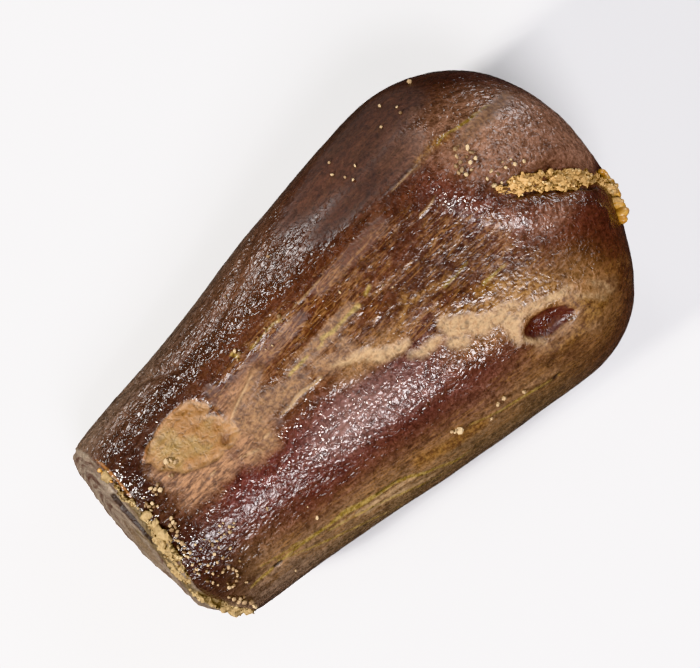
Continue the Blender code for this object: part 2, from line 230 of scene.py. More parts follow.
# strokes laid on the skin, each a list of (x, angle, radius)
marks = {
    "chip": [
        [
            (-18.4, 18, 0.25), (-17.5, 20, 0.5), (-16.4, 20, 0.7), (-15.2, 20, 0.85), (-14.0, 19, 0.8),
            (-13.3, 16, 0.5),
        ],
        [(-17.6, 14, 0.9), (-16.4, 13, 1.2), (-15.2, 11, 1.5), (-14.1, 6, 1.5), (-13.4, 2, 1.1)],
        [(-17.6, 12, 0.7), (-16.6, 7, 1.0), (-15.4, 4, 1.15), (-14.6, 1, 0.9)],
    ],
    "pink": [
        [(-18.5, 12, 0.6), (-18.0, 4, 0.8), (-17.2, -3, 1.0), (-16.6, -10, 0.9), (-18.1, -9, 0.44)],
        [(-16.4, 3, 1.2), (-15.2, -5, 1.3), (-14.8, -9, 1.0)],
        [(-11.6, 8, 0.44), (-11.0, 0, 0.66), (-11.0, -7, 0.73), (-11.4, -14, 0.59)],
        [(-12.8, -5, 1.1), (-13.0, -13, 0.9)],
        [(-12.3, 4, 0.8), (-11.2, 7, 0.9), (-10.2, 9, 0.8), (-9.2, 11, 0.5)],
    ],
    "tan": [
        [(-12.5, 2, 0.35), (-11.2, 6, 0.4), (-10.2, 8, 0.32), (-9.3, 10, 0.3), (-8.7, 11, 0.2)],
        [
            (-12.1, 0, 0.9), (-11.2, -3, 1.1), (-10.0, -1, 1.0), (-9.1, -3, 0.95), (-8.5, -4, 0.8),
            (-6.9, -4, 0.6),
        ],
        [(-11.5, -10, 0.8), (-11.4, -15, 0.6), (-12.6, -13, 0.6)],
        [(-7.1, 0, 0.4), (-6.2, 0, 0.4), (-5.1, 0, 0.4), (-3.8, 0, 0.55), (-2.7, 1, 0.45), (-1.2, 1, 0.3)],
        [(-5.3, -6, 0.55), (-4.4, -10, 0.6), (-3.5, -12, 0.5)],
        [(-3.2, -7, 0.44), (-2.9, -11, 0.4)],
        [(4.6, -64, 0.4), (6.1, -67, 0.3), (7.4, -69, 0.22)],
        [(13.2, -50, 0.4), (14.3, -55, 0.3)],
        [(10.5, -46, 0.51), (11.0, -50, 0.59), (11.7, -56, 0.51)],
        [(8.9, -52, 0.59), (10.2, -58, 0.66), (11.6, -62, 0.51)],
        [(7.1, -53, 0.44), (8.4, -58, 0.44)],
        [(11.6, 14, 0.15), (13.3, 16, 0.29), (15.1, 18, 0.37), (17.1, 22, 0.37), (18.4, 28, 0.22)],
    ],
    "gold": [
        [(2.2, -8, 0.15), (1.8, -11, 0.3), (1.1, -14, 0.22), (0.4, -16, 0.15), (-0.6, -17, 0.1)],
        [(1.9, -12, 0.25), (3.1, -13, 0.22), (4.2, -14, 0.15), (5.2, -15, 0.1)],
        [(7.0, -33, 0.6), (7.6, -34, 0.6), (8.5, -34, 0.55), (9.8, -35, 0.5), (10.6, -37, 0.3)],
        [(3.0, -24, 0.25), (4.8, -27, 0.4), (5.8, -30, 0.45), (6.5, -32, 0.44)],
        [(6.1, -26, 0.44), (7.5, -28, 0.59), (8.6, -32, 0.66), (9.6, -36, 0.59), (10.4, -42, 0.51)],
        [(8.5, 19, 0.15), (10.3, 20, 0.25), (11.1, 20, 0.3), (11.6, 19, 0.3)],
        [(10.8, -48, 0.4), (11.3, -50, 0.6), (11.8, -56, 0.6), (12.8, -56, 0.37)],
        [(11.1, -57, 0.4), (9.8, -59, 0.3), (8.5, -59, 0.22), (7.6, -58, 0.15)],
        [(-17.9, 12, 0.25), (-17.2, 11, 0.35)],
        [(-4.0, -64, 0.6), (-1.6, -67, 0.6), (0.9, -68, 0.6)],
    ],
    "cream": [
        [
            (-4.6, -10, 0.15), (-4.0, -12, 0.22), (-2.9, -14, 0.37), (-2.3, -16, 0.5), (-1.9, -19, 0.5),
            (-1.1, -21, 0.44), (-0.5, -22, 0.4), (0.1, -22, 0.25),
        ],
        [(-0.3, -26, 0.2), (0.3, -28, 0.29), (1.1, -28, 0.37), (1.8, -28, 0.29)],
        [
            (2.8, -26, 0.5), (3.3, -29, 0.8), (4.0, -30, 0.66), (4.6, -34, 0.66), (5.4, -34, 0.51),
            (6.3, -37, 0.44), (6.4, -40, 0.59), (6.1, -43, 0.5), (6.0, -46, 0.25),
        ],
        [(2.4, -32, 0.45), (3.0, -34, 0.5)],
        [(6.3, -34, 0.29), (7.5, -36, 0.22)],
        [
            (7.2, -39, 0.3), (8.4, -40, 0.3), (9.3, -41, 0.34), (10.0, -42, 0.3), (10.5, -42, 0.25),
            (11.1, -43, 0.15),
        ],
        [(6.6, -47, 0.3), (7.4, -52, 0.2)],
        [(11.2, -46, 0.05), (12.3, -51, 0.2), (13.0, -55, 0.1)],
        [(12.6, -46, 0.02), (13.4, -51, 0.1), (13.8, -56, 0.05)],
        [(-11.0, -67, 0.02), (-7.7, -69.5, 0.1), (-5.0, -71, 0.02)],
        [(-9.0, -73, 0.02), (-6.0, -75, 0.08), (-3.5, -79, 0.02)],
    ],
    "yellow": [
        [(-7.3, 0, 0.07), (-6.8, 0, 0.12), (-6.0, 0, 0.12), (-5.5, 0, 0.06)],
        [
            (-4.7, -1, 0.09), (-4.3, -1, 0.07), (-4.0, 1, 0.12), (-3.3, 0, 0.15), (-2.7, 0, 0.12),
            (-1.8, 0, 0.12), (-1.2, 0, 0.15), (-0.7, 0, 0.18),
        ],
        [(0.2, 1, 0.12), (0.7, 2, 0.12)],
        [(-9.2, 22, 0.13), (-9.0, 20, 0.13)],
        [(-8.0, 18, 0.09), (-7.4, 18, 0.07), (-6.8, 18, 0.05), (-5.9, 18, 0.06), (-5.2, 17, 0.07)],
        [(4.6, -16, 0.11), (5.6, -16, 0.07), (6.8, -15, 0.04)],
        [(6.7, -24, 0.1), (7.2, -24, 0.12), (7.8, -24, 0.07), (8.6, -24, 0.05)],
        [
            (10.8, 19, 0.03), (11.7, 20, 0.08), (12.6, 19, 0.1), (13.5, 19, 0.13), (14.7, 20, 0.1),
            (15.6, 21, 0.08), (16.2, 22, 0.02),
        ],
        [
            (-18.8, -63, 0.05), (-17.8, -62, 0.08), (-16.9, -62, 0.1), (-15.2, -61, 0.1),
            (-13.2, -62, 0.18), (-11.7, -63, 0.12), (-10.4, -62, 0.25), (-9.5, -64, 0.28),
            (-8.7, -65, 0.22), (-7.5, -66, 0.18), (-6.3, -66, 0.18), (-5.1, -69, 0.18), (-4.1, -73, 0.18),
            (-2.9, -76, 0.12), (-1.7, -80, 0.12), (-0.4, -80, 0.05),
        ],
        [(-17.3, -56, 0.05), (-15.8, -58, 0.06), (-14.5, -59, 0.09), (-13.4, -62, 0.06)],
        [(-11.9, -66, 0.08), (-8.6, -71, 0.12), (-5.5, -78, 0.1), (-2.2, -86, 0.05)],
        [(-16.0, -60, 0.05), (-13.0, -70, 0.1), (-9.0, -81, 0.1), (-4.7, -95, 0.05)],
        [(0.2, -64, 0.05), (2.6, -68, 0.12), (5.1, -70, 0.12), (7.6, -72, 0.05)],
    ],
    "crack": [
        [(5.1, 20, 0.0), (6.3, 20, 0.04), (7.2, 20, 0.06), (8.2, 20, 0.06), (9.0, 19.5, 0.02)],
        [(-7.8, -66, 0.05), (-6.8, -66, 0.07), (-5.9, -66, 0.07), (-5.1, -70, 0.04)],
        [(-16.5, -62, 0.16), (-15.9, -62, 0.09)],
        [(7.2, -72, 0.22), (7.7, -71, 0.1)],
        [
            (11.3, -7, 0.05), (12.8, -10, 0.1), (14.2, -13, 0.13), (16.1, -20, 0.14), (17.6, -26, 0.13),
            (18.7, -31, 0.1),
        ],
        [(-12.9, 18, 0.04), (-12.6, 12, 0.06), (-12.4, 7, 0.05)],
    ],
    "dark": [
        [(7.2, -46, 0.5), (7.8, -47, 0.9), (8.7, -48, 1.0), (9.6, -49, 0.75), (10.2, -50, 0.35)],
    ],
    "spot": [
        [(-13.6, -0.5, 0.3), (-13.4, 0.5, 0.28)],
        [(-13.2, -12, 0.16)],
    ],
    "rim": [
        [
            (-18.8, 19, 0.06), (-17.9, 22, 0.04), (-17.0, 23, 0.04), (-16.0, 24, 0.05), (-14.9, 24, 0.05),
            (-13.9, 24, 0.05), (-13.0, 20, 0.04), (-12.8, 14, 0.04), (-12.7, 8, 0.04), (-12.4, 4, 0.02),
        ],
        [(-21.0, 40, 0.05), (-21.0, 33, 0.12), (-21.0, 28, 0.15), (-21.0, 20, 0.14), (-21.1, 12, 0.1)],
    ],
    "rust": [
        [(-10.4, -5, 0.29), (-10.3, -8, 0.29), (-10.0, -11, 0.22)],
        [
            (-4.2, 12, 0.29), (-5.7, 12, 0.37), (-7.6, 12, 0.44), (-9.0, 13, 0.4), (-10.8, 12, 0.51),
            (-12.0, 14, 0.45),
        ],
        [(-1.9, 14, 0.37), (1.2, 14, 0.44), (4.1, 14, 0.51)],
        [(-12.0, 19, 0.3), (-11.9, 10, 0.4), (-10.4, 14, 0.4)],
    ],
    # lipHighlight: raised lips along ridges and crack edges, painted pale as a painted highlight
    "lipHighlight": [
        [
            (-9.5, -10, 0.06), (-8.6, -10, 0.12), (-8.0, -9, 0.15), (-7.4, -9, 0.17), (-6.6, -10, 0.13),
            (-5.8, -10, 0.1),
        ],
        [(-12.3, 4, 0.04), (-11.2, 7, 0.07), (-10.2, 9, 0.06), (-9.2, 11, 0.03)],
        [(6.3, 18.7, 0.04), (7.2, 18.7, 0.05), (8.2, 18.7, 0.05), (9.0, 18, 0.04)],
        [(-5.2, 17, 0.02), (-3.3, 16, 0.04), (-2.5, 16, 0.05), (-1.3, 16, 0.02)],
        [(6.6, 7, 0.04), (7.6, 7, 0.05), (8.3, 8, 0.03)],
        [(-16.0, -8, 0.04), (-15.6, -8, 0.07)],
        [(-13.7, -11, 0.04), (-12.8, -13, 0.06), (-12.3, -14, 0.04)],
        [(-11.5, -12, 0.07), (-11.0, -12, 0.05)],
    ],
    "polish": [
        [
            (-18.9, 34, 0.9), (-15.6, 34, 1.15), (-12.6, 33, 1.1), (-9.7, 33, 1.0), (-6.8, 31, 0.8),
            (-4.2, 28, 0.7),
        ],
        [(-18.2, -18, 0.3), (-16.2, -18, 0.5), (-14.5, -20, 0.6), (-13.1, -24, 0.6), (-11.4, -24, 0.8)],
        [
            (-10.4, -24, 1.5), (-8.8, -28, 2.1), (-6.4, -30, 2.2), (-3.7, -35, 2.0), (-1.4, -38, 1.5),
            (0.6, -38, 1.1),
        ],
        [(0.6, -36, 1.1), (2.7, -40, 0.9), (4.8, -42, 0.5)],
        [
            (-19.6, 44, 0.3), (-19.6, 26, 0.66), (-20.0, 19, 0.73), (-19.7, 10, 0.51), (-19.9, -4, 0.6),
            (-19.6, -19, 0.5), (-20.5, -32, 0.5), (-20.3, -42, 0.6),
        ],
        [(-2.8, 9, 0.6), (-2.2, 8, 0.6)],
        [(-4.4, 6, 0.37), (-3.8, 6, 0.37)],
        [(-0.4, -4, 0.51), (0.7, -8, 0.59)],
        [(3.6, -19, 0.37), (4.9, -22, 0.59), (6.5, -26, 0.44)],
        [(9.2, -42, 0.5), (9.8, -42, 0.4)],
        [(13.2, 24, 0.59), (14.6, 25, 0.59), (16.5, 27, 0.59), (18.1, 27, 0.44)],
        [(18.7, 17, 0.4), (19.1, 10, 0.44), (19.4, 3, 0.44), (19.3, -3, 0.37)],
        [
            (9.0, 12, 0.66), (9.8, 4, 0.66), (10.3, -3, 0.66), (11.0, -10, 0.5), (12.7, -15, 0.7),
            (14.7, -22, 0.6),
        ],
        [(14.7, -22, 0.73), (16.6, -30, 0.6), (17.2, -38, 0.5)],
        [(14.3, -44, 0.6), (15.1, -56, 0.44)],
    ],
    "dull": [
        [(0, 47, 0.3), (2, 46, 1.4), (6, 46, 3.0), (11, 48, 3.0)],
        [(1, 29, 0.4), (5, 28, 1.4), (9, 27, 1.6)],
    ],
    "fibres": [
        [(-12, 12, 1.2), (-6, 12, 1.6), (0, 6, 2.2), (5, 0, 2.4), (8, -14, 2.4)],
        [(-6, -4, 1.0), (0, -12, 1.6), (6, -24, 1.8), (11, -36, 1.4)],
        [(-16, -62, 1.6), (-6, -66, 1.8), (3, -66, 2.2), (10, -62, 2.6), (15, -58, 2.0)],
    ],
}

# broad washes of colour on the skin, stains with painted sheen, glints and reflection among them: (x, angle,
# reach along, reach around, colour, strength)
washes = [
    # the first three washes paint a pale grey sheen along the upper flank's edge, where the skin turns away
    (-18, 64, 6, 4, "dustAndSheen", 1.0), (-8, 72, 7, 3.5, "dustAndSheen", 0.9), (2, 82, 8, 3, "dustAndSheen", 0.6),
    (-17, 42, 5, 2.4, "umber", 1.0), (-8, 50, 6, 3, "umber", 1.0), (-5, 50, 3, 2.4, "rose", 2.0),
    (3, 48, 3, 2.4, "chestnut", 1.3), (0, 56, 6, 4, "umber", 1.0), (0, 38, 6, 2.5, "cocoa", 1.2),
    (8, 60, 6, 5, "cocoa", 1.4), (7, 36, 5, 3, "cocoa", 1.4), (15, 50, 5, 6, "cocoa", 1.0),
    (18, 30, 4, 4, "wine", 0.8), (-19, 30, 3, 2, "night", 1.0), (-14, 32, 4, 1.6, "night", 1.0),
    (-6, 28, 5, 1.4, "umber", 1.0), (4, 23, 5, 1.6, "cocoa", 1.5), (-11, 16, 2.2, 1.6, "rust", 1.2),
    (-6, 17, 3, 1.4, "rust", 1.2), (-1, 14, 3.5, 1.8, "rust", 1.2), (4, 12, 3, 1.8, "rust", 1.2),
    (3, 2, 3.5, 2, "rust", 1.4), (-5, 6, 4, 2, "rust", 1.3), (-8, -3, 3, 2, "hazel", 1.0),
    (-1, 2, 3, 2, "hazel", 0.9), (2, -9, 3.5, 2, "umber", 0.9), (5, -4, 3, 3, "cocoa", 1.5),
    (6, -16, 3, 2.4, "umber", 1.0), (9, -24, 3, 2, "umber", 1.0), (8, -6, 2.4, 2.4, "cocoa", 1.2),
    (12, -32, 3, 2.4, "rust", 0.8), (-20.5, 20, 1.6, 2, "night", 1.0),
    (-20.4, 0, 1.5, 2.4, "night", 1.2), (-20, -26, 1.8, 3, "night", 1.2), (-20, -50, 2, 3, "night", 1.1),
    (-17.6, -5, 1.8, 2, "rose", 0.9), (-15, -26, 4, 2, "plum", 1.0), (-8, -32, 4, 2.5, "plum", 1.1),
    # the lilacGlint washes on this line and the next paint the swell's lavender glint sheen
    (0, -38, 4, 2.5, "plum", 1.1), (-6.5, -31, 2.8, 1.3, "lilacGlint", 3.0),
    (-2.0, -36, 2.6, 1.2, "lilacGlint", 1.2), (4, -44, 3, 2, "plum", 1.0), (-11, -45, 4, 2, "wine", 1.8),
    (-4, -50, 4, 2.2, "wine", 1.8), (2, -55, 3, 2.2, "plum", 1.0), (-15, -55, 4, 2.6, "fawn", 0.7),
    (-6, -62, 5, 2.4, "fawn", 1.4), (-8, -71, 3.5, 1.6, "fawn", 1.6), (3, -66, 5, 3, "fawn", 0.9),
    (-16, -78, 5, 3, "dustAndSheen", 0.6), (-8, -82, 6, 3.4, "olive", 0.9), (4, -84, 7, 4, "olive", 0.9),
    (8, -62, 4, 3, "hazel", 1.1), (13, -50, 3, 3, "rust", 0.9), (13, -66, 4, 4, "hazel", 1.0),
    (9, 6, 2, 2, "plum", 1.0), (11, -8, 2.4, 2.2, "plum", 1.2), (14, -20, 2.6, 2.2, "plum", 1.2),
    (17, -34, 2.6, 2.6, "plum", 1.1), (16, -48, 3, 4, "chestnut", 1.0), (19, -60, 3, 5, "cocoa", 1.0),
    (13, 10, 2.4, 3, "rose", 1.0), (16, 4, 2.2, 3.4, "rose", 1.0), (18.5, 0, 2, 3, "plum", 0.9),
    (19.6, -10, 1.2, 2.4, "mauveAndSheen", 2.0), (15, 22, 3, 2.2, "fawn", 0.8), (12, 28, 4, 2.4, "umber", 1.0),
    (20, 40, 2.5, 5, "wine", 0.9), (21, -20, 1.5, 5, "wine", 0.8), (-14, 100, 7, 6, "umber", 1.0),
    (0, 110, 7, 7, "cocoa", 1.0), (12, 110, 6, 8, "cocoa", 1.0), (-6, 140, 8, 6, "chestnut", 0.8),
    (8, 150, 7, 6, "umber", 0.8), (-15, 170, 6, 6, "hazel", 0.8), (0, 180, 7, 6, "fawn", 0.7),
    (12, -170, 7, 6, "hazel", 0.8), (-10, -140, 7, 6, "chestnut", 0.8), (6, -135, 7, 7, "umber", 0.9),
    (-2, -110, 8, 4, "hazel", 0.9), (15, -110, 5, 8, "chestnut", 1.0), (-17, -110, 5, 5, "umber", 0.9),
    (20, 120, 4, 8, "cocoa", 0.8), (19, 180, 4, 8, "chestnut", 0.8),
    (7.2, -35, 2.6, 1.1, "paleTan", 1.6), (9.6, -41, 2.4, 0.8, "paleTan", 0.6),
    (12.2, -51, 1.8, 2.2, "paleTan", 5.0), (4.6, -36, 2.6, 1.0, "paleTan", 1.6),
    # the mauveAndSheen washes below, and the one at (19.6, -10) above, lighten the dome into a painted
    # reflection of the floor and painted glints
    (-2.0, -17, 2.2, 0.6, "paleTan", 1.4), (13.0, 8, 2.0, 2.0, "mauveAndSheen", 1.6),
    (15.8, 10, 2.0, 2.4, "mauveAndSheen", 1.6), (17.6, 4, 1.6, 2.6, "mauveAndSheen", 1.4),
    (14.5, 17, 1.8, 1.0, "olive", 1.2), (13.5, 3, 1.6, 0.9, "hazel", 1.2),
    (11.5, -12, 2.0, 0.9, "mauveAndSheen", 0.6), (14.0, -22, 2.2, 0.9, "mauveAndSheen", 1.4),
    (14.0, 23, 3.2, 1.8, "mauveAndSheen", 2.6), (17.0, 16, 2.6, 2.6, "mauveAndSheen", 3.0),
    (19.2, 0, 1.6, 3.0, "mauveAndSheen", 2.6), (19.5, 14, 1.6, 3.0, "mauveAndSheen", 2.4),
    (11.5, 12, 1.6, 1.6, "rose", 1.4),
]
washBase = ("umber", 0.02)

# how far each kind of mark stands out of the skin, and how softly it begins
carving = {
    "chip": (-0.22, 0.12),
    "crack": (-0.14, 0.08),
    "lipHighlight": (0.12, 0.1),
    "dark": (-0.34, 0.18),
    "cream": (-0.05, 0.3),
    "spot": (-0.2, 0.1),
    "polish": (0.05, 0.6),
}

# wider hollows and swellings: strokes as above, then how far they stand out
folds = [
    ([(12.2, -5, 0), (15.3, -12, 0), (17.2, -16, 0), (18.9, -22, 0), (20.3, -36, 0)], 1.3, -0.36),
    ([(-12.2, 15, 0), (-10.6, 13, 0), (-8.8, 13, 0), (-6.0, 13, 0)], 0.9, -0.12),
    ([(8.1, -46, 0), (9.0, -48, 0)], 1.2, -0.3),
    ([(9.4, 4, 0), (10.6, -6, 0), (12.4, -16, 0), (14.8, -26, 0), (16.8, -36, 0)], 1.1, 0.3),
    ([(-12.5, 2, 0), (-11.2, 6, 0), (-10.2, 8, 0), (-8.7, 11, 0)], 0.4, 0.2),
    ([(-16.1, 70, 0), (-14.0, 52, 0), (-12.2, 38, 0), (-9.2, 38, 0), (-6.2, 44, 0), (-2.0, 60, 0)],
     0.5, -0.14),
    ([(-9.5, -13, 0), (-7.0, -13, 0), (-4.5, -16, 0)], 0.7, 0.14),
    ([(12.0, 19, 0), (15.6, 21, 0)], 0.5, 0.12),
]

# the broken face: a narrow slot and where sand coats it, as (share of the way to the edge, angle, radius)
slot = {
    "path": [(0.76, 25, 0.15), (0.71, 17, 0.42), (0.68, 9, 0.58), (0.66, 0, 0.55), (0.65, -8, 0.3)],
    "depth": 1.0,
    "soft": 0.18,
}
sandyFace = [
    [(0.9, 12, 0.4), (0.9, 0, 0.8), (0.8, -12, 1.5), (0.65, -20, 2.2), (0.6, -30, 2.0), (0.7, -45, 1.3)],
    [(0.75, -55, 1.1), (0.85, -75, 1.0)],
    [(0.45, 4, 0.45)],
]
# along this stretch the skin rolls over the edge, by so many millimetres
rolledEdge = {"angle": -64.0, "spread": 26.0, "width": 1.3}


def strokeField(points, paths, placeOf=skinPoint):
    # how far inside the nearest stroke each point lies
    field = np.full(len(points), -6.0)
    for path in paths:
        places = [placeOf(np.float64(a), np.float64(b)).reshape(3) for a, b, _ in path]
        radii = [radius for _, _, radius in path]
        if len(path) == 1:
            field = np.maximum(field, radii[0] - np.linalg.norm(points - places[0], axis=1))
        for start, end, first, last in zip(places, places[1:], radii, radii[1:]):
            run = end - start
            share = np.clip((points - start) @ run / (run @ run), 0.0, 1.0)
            away = np.linalg.norm(points - start - share[:, None] * run, axis=1)
            field = np.maximum(field, first + (last - first) * share - away)
    return field


def toothColumns():
    even = np.arange(toothGrid["around"]) * 360.0 / toothGrid["around"]
    return even - toothGrid["crowding"] * sine(even)


def toothRows(angles):
    # rows of points from the middle of the broken face to the tip, with each row's x and share of its section
    s = toothShape
    rows, xs, shares = [], [], []
    for i in range(1, toothGrid["faceRows"]):
        share = (i / toothGrid["faceRows"]) ** 0.8
        rows.append(facePoint(np.full_like(angles, share), angles))
        xs.append(np.full_like(angles, s["breakX"]))
        shares.append(np.full_like(angles, share))
    start = edgeX(angles)
    for i in range(toothGrid["sideRows"] + 1):
        x = start + (s["domeX"] - start) * i / toothGrid["sideRows"]
        rows.append(skinPoint(x, angles))
        xs.append(x)
        shares.append(np.ones_like(angles))
    for i in range(1, toothGrid["domeRows"]):
        x = s["domeX"] + (s["tipX"] - s["domeX"]) * sine(90.0 * i / toothGrid["domeRows"]) + 0.0 * angles
        rows.append(skinPoint(x, angles))
        xs.append(x)
        shares.append(domeShare(x, angles))
    return np.array(rows), np.array(xs), np.array(shares)


def gridNormals(grid):
    down = np.gradient(grid, axis=0)
    across = (np.roll(grid, -1, axis=1) - np.roll(grid, 1, axis=1)) / 2.0
    normal = np.cross(down, across)
    return normal / np.maximum(np.linalg.norm(normal, axis=2, keepdims=True), 1e-12)


def withPoles(grid, first, last):
    inner = grid.reshape(-1, grid.shape[-1])
    return np.concatenate([np.reshape(first, (1, -1)), inner, np.reshape(last, (1, -1))])


def stainAndSheenColours(x, angle):
    total = np.full((len(x), 3), 0.0) + np.array(linear(washBase[0])[:3]) * washBase[1]
    weight = np.full(len(x), washBase[1])
    for washX, washAngle, along, around, colour, strength in washes:
        arc = np.radians(turned(angle, washAngle)) * 11.0
        share = strength * np.exp(-(((x - washX) / along) ** 2) - (arc / around) ** 2)
        total += share[:, None] * np.array(linear(colour)[:3])
        weight += share
    return total / weight[:, None]


def addAttribute(mesh, name, kind, values):
    attribute = mesh.attributes.new(name, kind, "POINT")
    key = {"FLOAT": "value", "FLOAT_VECTOR": "vector", "FLOAT_COLOR": "color"}[kind]
    attribute.data.foreach_set(key, np.ascontiguousarray(values, np.float32).ravel())


def buildToothMesh():
    angles = toothColumns()
    grid, xs, shares = toothRows(angles)
    normals = gridNormals(grid)
    rows, columns = xs.shape
    tip = skinPoint(toothShape["tipX"], 0.0)
    middle = facePoint(0.0, 0.0)
    points = withPoles(grid, middle, tip)
    normals = withPoles(normals, (-1.0, 0.0, 0.0), (1.0, 0.0, 0.0))
    x = withPoles(xs[..., None], toothShape["breakX"], toothShape["tipX"])[:, 0]
    share = withPoles(shares[..., None], 0.0, 0.0)[:, 0]
    angle = withPoles(np.broadcast_to(angles, xs.shape)[..., None], 0.0, 0.0)[:, 0]
    onFace = np.arange(len(x)) < 1 + (toothGrid["faceRows"] - 1) * columns
    broken = np.where(onFace, (1.0 - share) * 8.0, edgeX(angle) - x)
    broken = broken - rolledEdge["width"] * bell(turned(angle, rolledEdge["angle"]), rolledEdge["spread"])

    fields = {name: strokeField(points, paths) for name, paths in marks.items()}
    slotField = strokeField(points, [slot["path"]], facePoint)
    sandyField = strokeField(points, sandyFace, facePoint)
    lift = np.zeros(len(x))
    for name, (height, soft) in carving.items():
        lift += height * ease(fields[name], -soft, soft)
    for path, half, height in folds:
        away = -strokeField(points, [path]) / half
        lift += height * np.exp(-np.abs(away) ** 4)
    lift -= slot["depth"] * ease(slotField, -slot["soft"], slot["soft"])
    points = points + normals * lift[:, None]
    points[:, 2] = np.maximum(points[:, 2], 0.0)

    index = 1 + np.arange(rows * columns).reshape(rows, columns)
    nextColumn = np.roll(index, -1, axis=1)
    quads = np.stack([index[:-1], index[1:], nextColumn[1:], nextColumn[:-1]], axis=-1).reshape(-1, 4)
    lastPole = rows * columns + 1
    faces = quads.tolist()
    faces += [(0, int(a), int(b)) for a, b in zip(index[0], nextColumn[0])]
    faces += [(int(a), lastPole, int(b)) for a, b in zip(index[-1], nextColumn[-1])]

    mesh = bpy.data.meshes.new("spinosaurus_tooth")
    mesh.from_pydata(((points + toothShape["shift"]) * mm).tolist(), [], faces)
    mesh.shade_smooth()
    for name, field in fields.items():
        addAttribute(mesh, name, "FLOAT", field)
    addAttribute(mesh, "slot", "FLOAT", slotField)
    addAttribute(mesh, "sandy", "FLOAT", sandyField)
    addAttribute(mesh, "broken", "FLOAT", broken)
    # the washes' colours, painted sheen among them, go to the skin as stainAndSheen
    colours = np.concatenate([stainAndSheenColours(x, angle), np.ones((len(x), 1))], axis=1)
    addAttribute(mesh, "stainAndSheen", "FLOAT_COLOR", colours)
    # space for patterns that run along the tooth: squeezed along x, and of one width all the way
    lengthwise = np.stack([x * 0.2, share * sine(angle) * 12.0, share * cosine(angle) * 12.0], axis=1)
    addAttribute(mesh, "lengthwise", "FLOAT_VECTOR", lengthwise)
    return mesh


class Nodes:
    # a short way to write node trees, for shaders and geometry alike
    def __init__(self, tree):
        self.tree = tree

    def add(self, kind, inputs=None, **settings):
        node = self.tree.nodes.new(kind)
        for key, value in settings.items():
            setattr(node, key, value)
        for key, value in (inputs or {}).items():
            if isinstance(value, bpy.types.NodeSocket):
                self.tree.links.new(value, node.inputs[key])
            elif value is not None:
                node.inputs[key].default_value = value
        return node

    def math(self, operation, first, second=0.0, third=0.0):
        return self.add("ShaderNodeMath", {0: first, 1: second, 2: third}, operation=operation).outputs[0]

    def times(self, first, second):
        return self.math("MULTIPLY", first, second)

    def plus(self, first, second):
        return self.math("ADD", first, second)

    def minus(self, first, second):
        return self.math("SUBTRACT", first, second)

    def larger(self, first, second):
        return self.math("MAXIMUM", first, second)

    def vector(self, operation, first, second=None, scale=None):
        inputs = {0: first}
        if second is not None:
            inputs[1] = second
        if scale is not None:
            inputs["Scale"] = scale
        return self.add("ShaderNodeVectorMath", inputs, operation=operation).outputs[0]

    def noise(self, vector, scale, detail=2.0, roughness=0.5, distortion=0.0, output="Fac"):
        inputs = {"Vector": vector, "Scale": scale, "Detail": detail, "Roughness": roughness}
        inputs["Distortion"] = distortion
        return self.add("ShaderNodeTexNoise", inputs).outputs[output]

    def cells(self, vector, scale, feature="F1", randomness=1.0):
        node = self.add("ShaderNodeTexVoronoi", {"Vector": vector, "Scale": scale}, feature=feature)
        node.inputs["Randomness"].default_value = randomness
        return node.outputs["Distance"]

    def step(self, value, low, high, start=0.0, end=1.0):
        inputs = {"Value": value, "From Min": low, "From Max": high, "To Min": start, "To Max": end}
        return self.add("ShaderNodeMapRange", inputs, interpolation_type="SMOOTHSTEP").outputs[0]

    def mix(self, factor, first, second, blend="MIX"):
        node = self.add("ShaderNodeMix", {0: factor, 6: first, 7: second}, data_type="RGBA", blend_type=blend)
        return node.outputs[2]

    def attribute(self, name):
        return self.add("ShaderNodeAttribute", attribute_name=name).outputs

    def named(self, name, kind="FLOAT"):
        node = self.add("GeometryNodeInputNamedAttribute", {"Name": name}, data_type=kind)
        return node.outputs[0]


def newGeometryTree(name, sockets):
    tree = bpy.data.node_groups.new(name, "GeometryNodeTree")
    tree.is_modifier = True
    tree.interface.new_socket("Geometry", in_out="INPUT", socket_type="NodeSocketGeometry")
    for label, value in sockets.items():
        kind = {int: "Int", float: "Float", bool: "Bool"}.get(type(value), "Material")
        socket = tree.interface.new_socket(label, in_out="INPUT", socket_type="NodeSocket" + kind)
        if kind != "Material":
            socket.default_value = value
    tree.interface.new_socket("Geometry", in_out="OUTPUT", socket_type="NodeSocketGeometry")
    kit = Nodes(tree)
    return kit, kit.add("NodeGroupInput").outputs


def finishTree(kit, geometry, finish):
    realized = kit.add("GeometryNodeRealizeInstances", {0: geometry}).outputs[0]
    painted = kit.add("GeometryNodeSetMaterial", {"Geometry": realized, "Material": finish}).outputs[0]
    kit.add("NodeGroupOutput", {0: painted})
    return kit.tree


def applyTree(mesh, tree, values):
    # runs a tree on a mesh, and gives back a plain object made from the result
    source = bpy.data.objects.new(mesh.name, mesh)
    scene.collection.objects.link(source)
    modifier = source.modifiers.new(tree.name, "NODES")
    modifier.node_group = tree
    for item in tree.interface.items_tree:
        if item.in_out == "INPUT" and item.name in values:
            modifier[item.identifier] = values[item.name]
    graph = bpy.context.evaluated_depsgraph_get()
    result = bpy.data.meshes.new_from_object(
        source.evaluated_get(graph), preserve_all_data_layers=True, depsgraph=graph
    )
    name = mesh.name
    bpy.data.objects.remove(source)
    bpy.data.meshes.remove(mesh)
    result.name = name
    piece = bpy.data.objects.new(name, result)
    scene.collection.objects.link(piece)
    return piece


toothRelief = {
    "Ripple Depth": 0.1,
    "Fibre Depth": 0.035,
    "Wrinkle Depth": 0.07,
    "Pit Depth": 0.16,
    "Fracture Depth": 0.35,
    "Edge Wear": 0.12,
}


